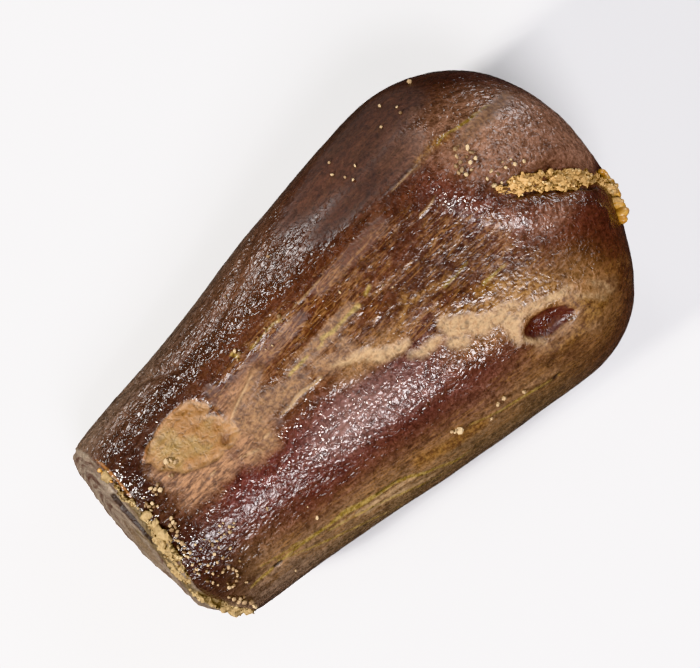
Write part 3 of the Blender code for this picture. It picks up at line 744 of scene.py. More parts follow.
def toothReliefTree():
    sockets = dict(toothRelief)
    sockets["Finish"] = None
    kit, given = newGeometryTree("tooth relief", sockets)
    lengthwise = kit.named("lengthwise", "FLOAT_VECTOR")
    place = kit.vector("SCALE", kit.add("GeometryNodeInputPosition").outputs[0], scale=1000.0)
    onFace = kit.step(kit.named("broken"), -0.1, 0.25)
    chip = kit.step(kit.named("chip"), -0.1, 0.2)
    polish = kit.step(kit.named("polish"), -0.5, 0.4)
    skin = kit.minus(1.0, onFace)

    shorter = kit.vector("MULTIPLY", lengthwise, (2.0, 1.0, 1.0))
    ripple = kit.minus(kit.noise(shorter, 0.6, 3.0, 0.55, 0.4), 0.5)
    fibre = kit.minus(kit.noise(shorter, 2.6, 2.0, 0.6, 0.6), 0.5)
    wrinkle = kit.minus(kit.noise(place, 1.15, 3.0, 0.6, 0.6), 0.5)
    pits = kit.step(kit.cells(place, 1.1), 0.05, 0.42, -1.0, 0.0)
    rough = kit.minus(kit.noise(place, 0.9, 5.0, 0.65), 0.5)

    # growth lines on the broken face, which follow its edge
    rings = kit.vector("MULTIPLY", lengthwise, (0.0, 0.1, 0.1))
    deep = kit.add("ShaderNodeCombineXYZ", {0: kit.times(kit.named("broken"), 1.1)}).outputs[0]
    growth = kit.minus(kit.noise(kit.vector("ADD", rings, deep), 1.0, 4.0, 0.6), 0.5)

    def scaled(value, depth, mask=None):
        value = kit.times(value, kit.times(given[depth], 2.0 * mm))
        return value if mask is None else kit.times(value, mask)

    lift = scaled(ripple, "Ripple Depth", skin)
    lift = kit.plus(lift, scaled(fibre, "Fibre Depth", skin))
    lift = kit.plus(lift, scaled(wrinkle, "Wrinkle Depth", polish))
    lift = kit.plus(lift, scaled(kit.times(pits, 0.5), "Pit Depth", chip))
    lift = kit.plus(lift, scaled(kit.plus(growth, kit.times(rough, 0.6)),
                                        "Fracture Depth", onFace))
    nearEdge = kit.step(kit.math("ABSOLUTE", kit.named("broken")), 0.0, 0.9, 1.0, 0.0)
    lift = kit.plus(lift, scaled(kit.minus(kit.times(rough, 2.2), 0.5),
                                        "Edge Wear", nearEdge))

    normal = kit.add("GeometryNodeInputNormal").outputs[0]
    raised = kit.vector("SCALE", normal, scale=lift)
    moved = kit.add("GeometryNodeSetPosition", {"Geometry": given["Geometry"], "Offset": raised}).outputs[0]
    split = kit.add("ShaderNodeSeparateXYZ", {0: kit.add("GeometryNodeInputPosition").outputs[0]}).outputs
    flat = kit.add("ShaderNodeCombineXYZ",
                   {0: split[0], 1: split[1], 2: kit.larger(split[2], 0.0)}).outputs[0]
    rested = kit.add("GeometryNodeSetPosition", {"Geometry": moved, "Position": flat}).outputs[0]
    return finishTree(kit, rested, given["Finish"])


# the tooth's finish: how each part of it shines, how deep its fine bumps are in millimetres, how dark its
# colours are, and how much painted white veil lies on them
toothFinish = {
    "specular": 0.44,
    "ior": 1.5,
    "skinRoughness": 0.25,
    "polishRoughness": 0.13,
    "boneRoughness": 0.55,
    "mattRoughness": 0.68,
    "dullRoughness": 0.85,
    "fibreBump": 0.035,
    "crinkleBump": 0.07,
    "roughBump": 0.05,
    "threads": 0.6,
    "depth": 0.36,
    "paintedVeil": 0.003,
}


def newMaterial(name):
    material = bpy.data.materials.new(name)
    material.use_nodes = True
    kit = Nodes(material.node_tree)
    shader = material.node_tree.nodes["Principled BSDF"]
    return material, kit, shader


# its patterns: how many to a millimetre, how detailed and how rough
toothPattern = {
    "broad": (0.35, 3.0, 0.55),
    "blotch": (0.9, 6.0, 0.68),
    "speck": (2.6, 6.0, 0.75),
    "streak": (0.9, 6.0, 0.7),
    "fibre": (3.2, 5.0, 0.72, 0.5),
    "ribs": (2.8, 1.5, 0.6, 0.8),
    "wander": (1.4, 1.0, 0.5),
    "film": (4.0, 1.0, 0.5),
    "growth": (1.0, 5.0, 0.65),
}


def toothMaterial():
    material, kit, shader = newMaterial("fossil_enamel")
    f = toothFinish
    pattern = toothPattern
    stainAndSheen = kit.attribute("stainAndSheen")["Color"]
    lengthwise = kit.attribute("lengthwise")["Vector"]
    place = kit.vector("SCALE", kit.add("ShaderNodeTexCoord").outputs["Object"], scale=1000.0)

    broad = kit.noise(place, *pattern["broad"])
    blotch = kit.noise(place, *pattern["blotch"])
    speck = kit.noise(place, *pattern["speck"])
    streak = kit.noise(lengthwise, *pattern["streak"])
    fibre = kit.noise(kit.vector("MULTIPLY", lengthwise, (1.6, 1.0, 1.0)), *pattern["fibre"])

    # a crinkled film: small hollows with sharp rims between them
    wander = kit.vector("SUBTRACT", kit.noise(place, *pattern["wander"], output="Color"), (0.5, 0.5, 0.5))
    wandered = kit.vector("ADD", place, kit.vector("SCALE", wander, scale=1.0))
    crinkle = kit.cells(wandered, 3.0)
    ribs = kit.noise(kit.vector("MULTIPLY", lengthwise, (2.2, 1.0, 1.0)), *pattern["ribs"])

    def mask(name, wobble, amount, soft):
        shaken = kit.math("MULTIPLY_ADD", kit.minus(wobble, 0.5), amount, kit.attribute(name)["Fac"])
        return kit.step(shaken, -soft, soft)

    def paint(colour, name, factor, strength=1.0):
        target = linear(name) if isinstance(name, str) else name
        return kit.mix(kit.times(factor, strength), colour, target)

    def shade(colour, pattern, low, high, dark, light, factor=1.0):
        value = kit.step(pattern, low, high, dark, light)
        grey = kit.add("ShaderNodeCombineXYZ", {0: value, 1: value, 2: value}).outputs[0]
        return kit.mix(factor, colour, grey, "MULTIPLY")

    # thin lines where a noise crosses its middle
    def threads(squeeze, scale, width, distortion):
        drawn = kit.vector("MULTIPLY", lengthwise, (squeeze, 1.0, 1.0))
        value = kit.noise(drawn, scale, 2.0, 0.5, distortion)
        off = kit.math("ABSOLUTE", kit.minus(value, 0.5))
        return kit.step(off, 0.0, width, 1.0, 0.0)

    fibrous = kit.step(kit.attribute("fibres")["Fac"], -1.2, 0.8)
    colour = shade(stainAndSheen, streak, 0.34, 0.66, 0.82, 1.2)
    colour = shade(colour, fibre, 0.32, 0.68, 0.78, 1.24)
    colour = shade(colour, speck, 0.3, 0.7, 0.62, 1.42)
    colour = paint(colour, "night", kit.step(blotch, 0.47, 0.34), 0.5)
    colour = paint(colour, "tan", kit.times(kit.step(speck, 0.54, 0.7), fibrous), 0.28)
    colour = paint(colour, "orange", mask("rust", blotch, 1.4, 0.5), 0.35)

    long = kit.times(threads(0.5, 1.7, 0.04, 0.7), kit.step(blotch, 0.4, 0.56))
    short = kit.times(threads(0.8, 3.0, 0.06, 0.9), kit.step(broad, 0.4, 0.55))
    lines = kit.times(kit.larger(long, short), kit.step(fibrous, 0.0, 1.0, 0.12, 1.0))
    colour = paint(colour, "thread", lines, f["threads"])

    pink = mask("pink", blotch, 2.4, 0.8)
    pinkColour = kit.mix(kit.step(fibre, 0.38, 0.6), linear("hazel"), linear("pinkBone"))
    colour = paint(colour, pinkColour, pink, 0.95)
    tan = mask("tan", streak, 2.2, 0.6)
    tanColour = kit.mix(kit.step(speck, 0.35, 0.65), linear("hazel"), linear("tan"))
    colour = paint(colour, tanColour, tan, 0.8)
    gold = mask("gold", fibre, 1.3, 0.4)
    colour = paint(colour, kit.mix(kit.step(speck, 0.4, 0.6), linear("hazel"), linear("gold")), gold, 0.8)
    cream = mask("cream", kit.math("MULTIPLY_ADD", streak, 0.5, kit.times(speck, 0.5)), 1.2, 0.34)
    creamColour = kit.mix(kit.step(speck, 0.34, 0.56), linear("tan"), linear("cream"))
    colour = paint(colour, shade(creamColour, fibre, 0.34, 0.6, 0.75, 1.08), cream, 0.95)

    chip = mask("chip", blotch, 0.5, 0.14)
    chipColour = kit.mix(kit.step(broad, 0.42, 0.6), linear("ochre"), linear("paleOchre"))
    nearRim = kit.step(kit.attribute("chip")["Fac"], 0.75, 0.0, 0.0, 0.75)
    chipColour = kit.mix(nearRim, chipColour, linear("tan"))
    chipColour = shade(chipColour, speck, 0.32, 0.62, 0.8, 1.1)
    colour = paint(colour, chipColour, chip)
    colour = paint(colour, "spot", mask("spot", speck, 0.3, 0.12), 0.8)
    colour = paint(colour, "rimTan", mask("rim", blotch, 0.3, 0.07), 0.7)
    # the lips are painted cream, a painted highlight along their ridges
    colour = paint(colour, "cream", mask("lipHighlight", fibre, 0.3, 0.1), 0.7)
    yellow = mask("yellow", fibre, 0.5, 0.12)
    yellowColour = kit.mix(kit.step(speck, 0.4, 0.6), linear("mould"), linear("straw"))
    colour = paint(colour, yellowColour, yellow, 0.9)
    dark = mask("dark", blotch, 0.5, 0.1)
    darkColour = kit.mix(kit.step(speck, 0.4, 0.65), linear("wine"), linear("chestnut"))
    colour = paint(colour, darkColour, dark, 0.95)
    # cracks are painted near-black, a painted shade in them
    crack = mask("crack", speck, 0.2, 0.07)
    colour = paint(colour, "recessShade", crack, 0.95)

    # the broken face: grey lines that follow its edge
    onFace = mask("broken", blotch, 0.9, 0.12)
    rings = kit.vector("MULTIPLY", lengthwise, (0.0, 0.12, 0.12))
    deep = kit.add("ShaderNodeCombineXYZ", {0: kit.times(kit.attribute("broken")["Fac"], 2.2)}).outputs[0]
    growth = kit.noise(kit.vector("ADD", rings, deep), *pattern["growth"])
    faceColour = kit.mix(kit.step(growth, 0.35, 0.6), linear("umber"), linear("ash"))
    faceColour = kit.mix(kit.step(kit.attribute("broken")["Fac"], 4.5, 8.0), faceColour, linear("olive"))
    faceColour = kit.mix(mask("sandy", blotch, 1.2, 0.4), faceColour,
                         kit.mix(kit.step(speck, 0.35, 0.65), linear("endSandDark"), linear("endSand")))
    colour = paint(colour, faceColour, onFace)
    # the slot is painted near-black, a painted shade in its recess
    colour = paint(colour, "recessShade", kit.step(kit.attribute("slot")["Fac"], -0.4, -0.15), 0.95)
    film = kit.math("MULTIPLY_ADD", kit.noise(wandered, *pattern["film"]), 0.8, crinkle)
    # the crinkle's hollows are painted darker and its rims lighter, a painted shade and highlight on its
    # relief; depth sets how dark all colours are
    colour = shade(colour, film, 0.35, 0.95, 0.7 * f["depth"], 1.25 * f["depth"])
    # a little white mixed into every colour, a painted sheen
    colour = kit.mix(f["paintedVeil"], colour, (1.0, 1.0, 1.0, 1.0))

    bone = kit.larger(chip, onFace)
    polish = kit.times(kit.step(kit.attribute("polish")["Fac"], -0.7, 0.4), kit.minus(1.0, bone))
    roughness = kit.step(polish, 0.0, 1.0, f["skinRoughness"], f["polishRoughness"])
    roughness = kit.plus(roughness, kit.step(speck, 0.4, 0.7, -0.06, 0.12))
    matt = kit.larger(cream, kit.step(kit.attribute("rust")["Fac"], -0.5, 0.3))
    matt = kit.larger(matt, kit.larger(pink, tan))
    matt = kit.larger(kit.larger(matt, crack), kit.times(fibrous, 0.1))
    dull = kit.step(kit.attribute("dull")["Fac"], -1.5, 1.5)
    calm = kit.times(kit.larger(fibrous, kit.larger(matt, dull)), 0.5)
    roughness = kit.add("ShaderNodeMix", {0: matt, 2: roughness, 3: f["mattRoughness"]}).outputs[0]
    roughness = kit.add("ShaderNodeMix", {0: dull, 2: roughness, 3: f["dullRoughness"]}).outputs[0]
    roughness = kit.add("ShaderNodeMix", {0: bone, 2: roughness, 3: f["boneRoughness"]}).outputs[0]
    filmHeight = kit.step(polish, 0.0, 1.0, 0.75 * f["crinkleBump"], f["crinkleBump"])
    filmHeight = kit.times(filmHeight, kit.minus(1.0, calm))
    height = kit.times(film, filmHeight)
    fibreHeight = kit.step(polish, 0.0, 1.0, f["fibreBump"], 0.4 * f["fibreBump"])
    height = kit.math("MULTIPLY_ADD", ribs, kit.times(fibreHeight, kit.minus(1.0, bone)), height)
    height = kit.math("MULTIPLY_ADD", kit.times(speck, bone), f["roughBump"], height)
    bump = kit.add("ShaderNodeBump", {"Strength": 1.0, "Distance": mm, "Height": height})

    shader.inputs["Specular IOR Level"].default_value = f["specular"]
    shader.inputs["IOR"].default_value = f["ior"]
    kit.tree.links.new(colour, shader.inputs["Base Color"])
    kit.tree.links.new(roughness, shader.inputs["Roughness"])
    kit.tree.links.new(bump.outputs[0], shader.inputs["Normal"])
    return material


tooth = applyTree(buildToothMesh(), toothReliefTree(), dict(toothRelief, Finish=toothMaterial()))
print("tooth:", len(tooth.data.polygons), "faces")


# sandstone: a crust is a closed sheet of cemented sand, roughened and strewn with grains
crusts = {
    "groove_sandstone": {
        "x": (11.8, 13.0, 14.0, 15.1, 16.3, 17.4, 18.6, 19.3, 19.7, 19.9, 19.5, 18.9),
        "angles": (-5.0, -6.5, -9.0, -12.5, -16.0, -19.5, -24.0, -30.0, -35.0, -40.0, -45.0, -49.0),
        "halfWidths": (0.45, 0.75, 0.8, 1.05, 1.2, 1.2, 1.0, 0.65, 0.45, 0.3, 0.22, 0.15),
        "rises": (0.04, 0.05, 0.06, 0.07, 0.08, 0.1, 0.12, 0.15, 0.18, 0.18, 0.15, 0.1),
        "sunk": 0.9,
        "colours": ("sandDark", "sand", "sandPale"),
    },
    "end_sandstone": {
        "angles": (36.0, 24.0, 16.0, 8.0, -4.0, -15.0, -25.0, -34.0, -46.0, -60.0, -72.0, -84.0, -94.0),
        "inner": (-0.3, -0.4, -0.5, -0.5, -0.5, -1.6, -2.8, -2.6, -2.3, -2.0, -1.8, -1.5, -0.9),
        "outer": (-0.1, -0.2, -0.15, 0.0, 0.1, 0.2, 0.15, -0.2, -1.3, -1.3, -0.7, -0.1, 0.0),
        "rise": 0.03,
        "sunk": 0.35,
        "colours": ("endSandDark", "endSand", "endSandPale"),
    },
}
crustGrid = {"along": 150, "across": 30}
crustGrain = {
    "Ragged": 0.65,
    "Grit Depth": 0.25,
    "Grain Size": 0.12,
    "Grains": 9.0,
    "Patchy": 0.4,
    "Detail": 1,
    "Smooth": False,
    "Seed": 3,
}
# the crust on the end is thinner and more broken
endGrain = dict(crustGrain, **{"Grit Depth": 0.16, "Patchy": 0.55, "Seed": 9})


def along(values, share):
    place = np.clip(share, 0.0, 1.0) * (len(values) - 1)
    return np.interp(place, np.arange(len(values)), values)


def crown(share, step):
    ends = np.sin(np.pi * np.clip(share, 0.03, 0.97)) ** 0.5
    return ends * (1.0 - step * step) ** 0.6


def groovePlace(share, step, lift):
    crust = crusts["groove_sandstone"]
    half = along(crust["halfWidths"], share)
    x = along(crust["x"], share)
    angle = along(crust["angles"], share) + np.degrees(half * step / halfWidth(toothShape["domeX"]))
    height = along(crust["rises"], share) * crown(share, step)
    low = -crust["sunk"] * crown(share, step) - 0.05
    lifted = np.where(lift > 0, height, low)
    return skinPoint(x, angle) + outwardAt(x, angle) * lifted[..., None]


def endPlace(share, step, lift):
    # from the broken face over its edge and a little way along the skin
    crust = crusts["end_sandstone"]
    angle = along(crust["angles"], share)
    inner = along(crust["inner"], share)
    run = inner + (along(crust["outer"], share) - inner) * (step + 1.0) / 2.0
    onFace = run < 0.0
    face = facePoint(np.where(onFace, 1.0 + run / 8.0, 1.0), angle)
    x = edgeX(angle) + np.maximum(run, 0.0)
    side = skinPoint(x, angle)
    point = np.where(onFace[..., None], face, side)
    turn = ease(run, -0.8, 0.5)[..., None]
    way = np.array([-1.0, 0.0, 0.0]) * (1.0 - turn) + outwardAt(x, angle) * turn
    way = way / np.linalg.norm(way, axis=-1, keepdims=True)
    lifted = np.where(lift > 0, crust["rise"] * crown(share, step), -crust["sunk"])
    return point + way * lifted[..., None]


def crustMesh(name, placeOf):
    share, step = np.meshgrid(np.linspace(0.0, 1.0, crustGrid["along"]),
                              np.linspace(-1.0, 1.0, crustGrid["across"]), indexing="ij")
    top = placeOf(share, step, np.ones_like(share))
    under = placeOf(share, step, -np.ones_like(share))[:, ::-1]
    points = np.concatenate([top, under], axis=1)
    rows, columns = points.shape[:2]
    index = np.arange(rows * columns).reshape(rows, columns)
    nextColumn = np.roll(index, -1, axis=1)
    quads = np.stack([index[:-1], index[1:], nextColumn[1:], nextColumn[:-1]], axis=-1)
    faces = quads.reshape(-1, 4).tolist()
    half = crustGrid["across"]
    for row in (0, rows - 1):
        for j in range(half - 1):
            a, b = index[row, j], index[row, j + 1]
            c, d = index[row, 2 * half - 2 - j], index[row, 2 * half - 1 - j]
            face = (a, b, c, d) if row == 0 else (d, c, b, a)
            faces.append([int(v) for v in face])
    mesh = bpy.data.meshes.new(name)
    mesh.from_pydata(((points.reshape(-1, 3) + toothShape["shift"]) * mm).tolist(), [], faces)
    mesh.shade_smooth()
    upper = np.zeros((rows, columns))
    upper[2:-2, 2:half - 2] = 1.0
    addAttribute(mesh, "upper", "FLOAT", upper.ravel())
    return mesh


def scatterGrains(kit, given, points, size):
    # small angular grains on the given points, each with its own size, turn and tone
    def chance(low, high, offset, kind="FLOAT"):
        node = kit.add("FunctionNodeRandomValue", data_type=kind)
        names = {"FLOAT": ("Min_001", "Max_001"), "FLOAT_VECTOR": ("Min", "Max")}[kind]
        for socket in node.inputs:
            if socket.identifier == names[0]:
                socket.default_value = low
            elif socket.identifier == names[1]:
                socket.default_value = high
            elif socket.identifier == "Seed":
                kit.tree.links.new(kit.plus(given["Seed"], offset), socket)
        return next(s for s in node.outputs if s.enabled)

    grain = kit.add("GeometryNodeMeshIcoSphere", {"Radius": 1.0, "Subdivisions": given["Detail"]}).outputs[0]
    turn = chance((0.0, 0.0, 0.0), (6.28, 6.28, 6.28), 1, "FLOAT_VECTOR")
    squash = kit.vector("SCALE", chance((0.5, 0.5, 0.5), (1.35, 1.35, 1.35), 2, "FLOAT_VECTOR"), scale=size)
    placed = kit.add("GeometryNodeInstanceOnPoints",
                     {"Points": points, "Instance": grain, "Rotation": turn, "Scale": squash}).outputs[0]
    toned = kit.add("GeometryNodeStoreNamedAttribute",
                    {"Geometry": placed, "Name": "tone", "Value": chance(0.0, 1.0, 3)},
                    data_type="FLOAT", domain="INSTANCE").outputs[0]
    real = kit.add("GeometryNodeRealizeInstances", {0: toned}).outputs[0]
    inputs = {"Geometry": real, "Shade Smooth": given["Smooth"]}
    return kit.add("GeometryNodeSetShadeSmooth", inputs).outputs[0]


def crustTree():
    sockets = dict(crustGrain)
    sockets["Finish"] = None
    kit, given = newGeometryTree("sandstone crust", sockets)
    place = kit.vector("SCALE", kit.add("GeometryNodeInputPosition").outputs[0], scale=1000.0)
    shake = kit.vector("SUBTRACT", kit.noise(place, 1.3, 3.0, 0.6, output="Color"), (0.5, 0.5, 0.5))
    shake = kit.vector("SCALE", shake, scale=kit.times(given["Ragged"], 2.0 * mm))
    grit = kit.times(kit.minus(0.35, kit.cells(place, 2.6)), given["Grit Depth"])
    # patches where the crust has fallen away sink below the skin
    gone = kit.step(kit.noise(place, 0.8, 3.0, 0.6), 0.44, 0.56, 1.0, 0.0)
    grit = kit.minus(grit, kit.times(gone, given["Patchy"]))
    normal = kit.add("GeometryNodeInputNormal").outputs[0]
    raised = kit.vector("SCALE", normal, scale=kit.times(grit, mm))
    moved = kit.add("GeometryNodeSetPosition",
                    {"Geometry": given["Geometry"], "Offset": kit.vector("ADD", shake, raised)}).outputs[0]
    toned = kit.add("GeometryNodeStoreNamedAttribute",
                    {"Geometry": moved, "Name": "tone", "Value": kit.noise(place, 2.5, 3.0, 0.6)},
                    data_type="FLOAT", domain="POINT").outputs[0]
    upper = kit.math("GREATER_THAN", kit.named("upper"), 0.5)
    scattered = kit.add("GeometryNodeDistributePointsOnFaces",
                        {"Mesh": toned, "Selection": upper, "Seed": given["Seed"],
                         "Density": kit.times(given["Grains"], 1e6)}).outputs[0]
    size = kit.times(given["Grain Size"], mm)
    grains = scatterGrains(kit, given, scattered, size)
    both = kit.add("GeometryNodeJoinGeometry")
    kit.tree.links.new(toned, both.inputs[0])
    kit.tree.links.new(grains, both.inputs[0])
    return finishTree(kit, both.outputs[0], given["Finish"])


sandFinish = {"roughness": 0.7, "specular": 0.35, "speckBump": 0.05}


def sandMaterial(name, colours):
    material, kit, shader = newMaterial(name)
    dark, middle, pale = colours
    tone = kit.attribute("tone")["Fac"]
    place = kit.vector("SCALE", kit.add("ShaderNodeTexCoord").outputs["Object"], scale=1000.0)
    speck = kit.noise(place, 5.0, 3.0, 0.6)
    colour = kit.mix(kit.step(tone, 0.15, 0.5), linear(dark), linear(middle))
    colour = kit.mix(kit.step(tone, 0.5, 1.0), colour, linear(pale))
    colour = kit.mix(kit.step(speck, 0.62, 0.35, 0.0, 0.45), colour, linear(dark))
    height = kit.times(speck, sandFinish["speckBump"])
    bump = kit.add("ShaderNodeBump", {"Strength": 1.0, "Distance": mm, "Height": height})
    kit.tree.links.new(colour, shader.inputs["Base Color"])
    kit.tree.links.new(bump.outputs[0], shader.inputs["Normal"])
    shader.inputs["Roughness"].default_value = sandFinish["roughness"]
    shader.inputs["Specular IOR Level"].default_value = sandFinish["specular"]
    return material


sandTree = crustTree()
sandFinishes = {name: sandMaterial(name + "_finish", crust["colours"]) for name, crust in crusts.items()}
groove = applyTree(crustMesh("groove_sand", groovePlace), sandTree,
                   dict(crustGrain, Finish=sandFinishes["groove_sandstone"]))
end = applyTree(crustMesh("end_sand", endPlace), sandTree,
                dict(endGrain, Finish=sandFinishes["end_sandstone"]))
print("sandstone:", len(groove.data.polygons), "and", len(end.data.polygons), "faces")


# loose grains stuck to the skin: (x, angle, radius)
grainSpots = {
    "flank": [
        (-2.4, 41, 0.15), (5.6, 51, 0.15), (4.9, 44, 0.13), (5.2, 38, 0.1), (5.4, 34, 0.16),
        (6.3, 38, 0.12), (9.7, 42, 0.13), (11.6, 44, 0.13), (11.3, 40, 0.15), (14.2, 56, 0.2),
        (11.1, 52, 0.14), (-6.4, 47, 0.1),
    ],
    "flute": [
        (-5.2, 16, 0.16), (-5.1, 18, 0.13), (-6.4, 19, 0.12), (-6.6, 18, 0.13), (-5.9, 16, 0.1),
        (-6.8, 13, 0.12), (-7.3, 14, 0.1), (-8.9, 22, 0.15), (-8.8, 20, 0.16), (-9.2, 19, 0.12),
        (-1.0, 8, 0.12), (1.5, -1, 0.13), (1.9, -4, 0.1),
    ],
    "lowFlank": [
        (-0.6, -62, 0.26), (-1.1, -60, 0.16), (-0.9, -61, 0.2), (1.8, -68, 0.18), (4.7, -66, 0.25),
        (3.2, -62, 0.21), (2.6, -63, 0.15), (-12.2, -54, 0.13), (-14.6, -34, 0.13), (-12.3, -46, 0.1),
        (-15.4, -75, 0.12),
    ],
    "chip": [
        (-17.6, 12, 0.2), (-17.3, 11, 0.22), (-17.2, 9, 0.16), (-18.1, 11, 0.16), (-18.1, 6, 0.12),
        (-17.9, 5, 0.12),
    ],
    "dome": [
        (11.5, 14, 0.18), (11.8, 14, 0.16), (12.2, 12, 0.19), (12.2, 10, 0.21), (12.1, 8, 0.18),
        (11.2, 12, 0.19), (11.7, 10, 0.16), (11.6, 8, 0.19), (11.1, 10, 0.21), (10.7, 10, 0.18),
        (10.8, 8, 0.21), (11.3, 6, 0.16), (10.5, 8, 0.18), (10.8, 6, 0.14), (13.3, 0, 0.16),
        (12.6, 0, 0.14), (12.3, 2, 0.18), (11.7, 1, 0.16), (11.8, -2, 0.19), (14.0, 1, 0.13),
        (13.4, 2, 0.11), (14.0, -1, 0.16), (14.7, -2, 0.16), (12.4, -3, 0.14),
    ],
    "edge": [
        (-19.6, 8, 0.16), (-19.1, 7, 0.19), (-19.6, 4, 0.16), (-19.2, 4, 0.16), (-19.6, 6, 0.19),
        (-19.4, 6, 0.16), (-20.4, 7, 0.12), (-20.5, 4, 0.16), (-20.5, 2, 0.19), (-20.2, 2, 0.16),
        (-20.7, 4, 0.12), (-20.6, 0, 0.16), (-20.3, 0, 0.13), (-20.1, -1, 0.14), (-20.0, -10, 0.16),
        (-20.1, -12, 0.17), (-20.5, -14, 0.2), (-20.5, -17, 0.16), (-20.8, -18, 0.17),
        (-21.0, -21, 0.16), (-20.7, -19, 0.16), (-20.9, -24, 0.16), (-20.9, -27, 0.14),
        (-20.4, -12, 0.14), (-20.2, -14, 0.16), (-20.3, -16, 0.17), (-20.6, -21, 0.17),
        (-20.7, -23, 0.14), (-20.0, -13, 0.13), (-20.6, -26, 0.13),
    ],
    "ring": [
        (-19.7, -44, 0.12), (-19.5, -43, 0.11), (-19.2, -44, 0.13), (-19.0, -46, 0.12),
        (-18.9, -48, 0.13), (-19.0, -50, 0.12), (-19.1, -51, 0.11), (-19.3, -53, 0.11),
        (-19.8, -54, 0.17), (-20.0, -53, 0.13), (-19.6, -54, 0.13), (-19.9, -51, 0.1),
    ],
    "loops": [
        (-21.0, -31, 0.12), (-21.2, -34, 0.11), (-21.1, -36, 0.16), (-20.9, -34, 0.12),
        (-21.0, -34, 0.13), (-20.6, -33, 0.11), (-20.5, -30, 0.13), (-20.7, -28, 0.1),
        (-20.9, -42, 0.15), (-20.7, -45, 0.13), (-20.5, -48, 0.1), (-20.0, -38, 0.1), (-20.2, -36, 0.12),
        (-20.5, -38, 0.1), (-19.6, -38, 0.12), (-19.1, -38, 0.15), (-17.9, -26, 0.12),
        (-17.6, -26, 0.11), (-17.4, -29, 0.15), (-17.2, -30, 0.15), (-18.0, -30, 0.15),
        (-18.3, -30, 0.12), (-19.1, -30, 0.18), (-19.1, -28, 0.12), (-18.7, -30, 0.11),
        (-19.3, -26, 0.11), (-18.2, -28, 0.1), (-17.6, -31, 0.12), (-17.0, -29, 0.12),
        (-18.9, -33, 0.12), (-19.9, -28, 0.1), (-20.0, -25, 0.1), (-18.8, -40, 0.1), (-18.3, -37, 0.1),
        (-18.3, -45, 0.1), (-21.0, -26, 0.1), (-20.5, -22, 0.1), (-19.4, -34, 0.11), (-20.3, -41, 0.12),
        (-20.1, -44, 0.1),
    ],
    "corner": [
        (-20.2, -61, 0.24), (-20.4, -58, 0.18), (-20.0, -65, 0.24), (-19.7, -68, 0.2),
        (-19.8, -64, 0.16), (-18.8, -58, 0.12), (-19.5, -65, 0.11), (-19.3, -72, 0.2), (-19.2, -78, 0.2),
    ],
}
grainSettings = {"Seed": 21, "Lumps": 0.09, "Detail": 1, "Smooth": False}
beadSpots = [
    (-21.3, 33, 0.16), (-21.3, 30, 0.2), (-21.3, 27, 0.17), (-21.3, 24, 0.14),
    (20.6, -35, 0.3), (20.6, -38, 0.34), (20.5, -41, 0.38), (20.3, -43, 0.4), (20.0, -45, 0.42),
    (19.6, -46, 0.4), (19.3, -47, 0.42), (19.0, -48, 0.44), (18.7, -49, 0.5), (18.4, -50, 0.4),
]

skinTree = BVHTree.FromPolygons([v.co.copy() for v in tooth.data.vertices],
                                [tuple(p.vertices) for p in tooth.data.polygons])


def seatedPoint(x, angle):
    # the place on the finished skin, with the way it faces
    way = Vector(outwardAt(x, angle))
    start = (Vector(skinPoint(x, angle)) + Vector(toothShape["shift"]) + way * 2.0) * mm
    hit, normal, _, _ = skinTree.ray_cast(start, -way)
    return (hit, normal) if hit else (start - way * 2.0 * mm, way)


def pointMesh(name, spots, sunk):
    mesh = bpy.data.meshes.new(name)
    seats = [seatedPoint(x, angle) for x, angle, _ in spots]
    radii = [radius for _, _, radius in spots]
    places = [hit + normal * radius * (1.0 - sunk) * mm for (hit, normal), radius in zip(seats, radii)]
    mesh.from_pydata([tuple(p) for p in places], [], [])
    addAttribute(mesh, "radius", "FLOAT", radii)
    return mesh


def looseTree():
    sockets = dict(grainSettings)
    sockets["Finish"] = None
    kit, given = newGeometryTree("loose grains", sockets)
    size = kit.times(kit.named("radius"), mm)
    grains = scatterGrains(kit, given, given["Geometry"], size)
    place = kit.vector("SCALE", kit.add("GeometryNodeInputPosition").outputs[0], scale=1000.0)
    shake = kit.vector("SUBTRACT", kit.noise(place, 2.5, 2.0, output="Color"), (0.5, 0.5, 0.5))
    shake = kit.vector("SCALE", shake, scale=kit.times(given["Lumps"], 2.0 * mm))
    lumpy = kit.add("GeometryNodeSetPosition", {"Geometry": grains, "Offset": shake}).outputs[0]
    return finishTree(kit, lumpy, given["Finish"])


beadFinish = {"roughness": 0.3, "clear": 0.25, "ior": 1.5}


def beadMaterial():
    material, kit, shader = newMaterial("amber_sand_finish")
    place = kit.vector("SCALE", kit.add("ShaderNodeTexCoord").outputs["Object"], scale=1000.0)
    cloudy = kit.step(kit.noise(place, 2.0, 3.0, 0.6), 0.35, 0.65)
    kit.tree.links.new(kit.mix(cloudy, linear("amber"), linear("amberBead")), shader.inputs["Base Color"])
    shader.inputs["Roughness"].default_value = beadFinish["roughness"]
    shader.inputs["Transmission Weight"].default_value = beadFinish["clear"]
    shader.inputs["IOR"].default_value = beadFinish["ior"]
    return material


grainTree = looseTree()
looseFinish = sandMaterial("loose_grain_finish", ("looseGrainDark", "looseGrain", "looseGrainPale"))
allSpots = [spot for spots in grainSpots.values() for spot in spots]
grains = applyTree(pointMesh("loose_sand_grains", allSpots, 0.35), grainTree,
                   dict(grainSettings, Finish=looseFinish))
beads = applyTree(pointMesh("amber_beads", beadSpots, 0.5), grainTree,
                  dict(grainSettings, Seed=4, Detail=3, Smooth=True, Finish=beadMaterial()))
print("grains:", len(grains.data.polygons), "faces")


# floor, light and camera
stageLook = {
    "floorSize": 3.0,
    "floorColour": (0.62, 0.62, 0.63, 1.0),
    "floorRoughness": 0.7,
    "worldColour": (1.0, 1.0, 1.0, 1.0),
    "worldStrength": 0.10,
}
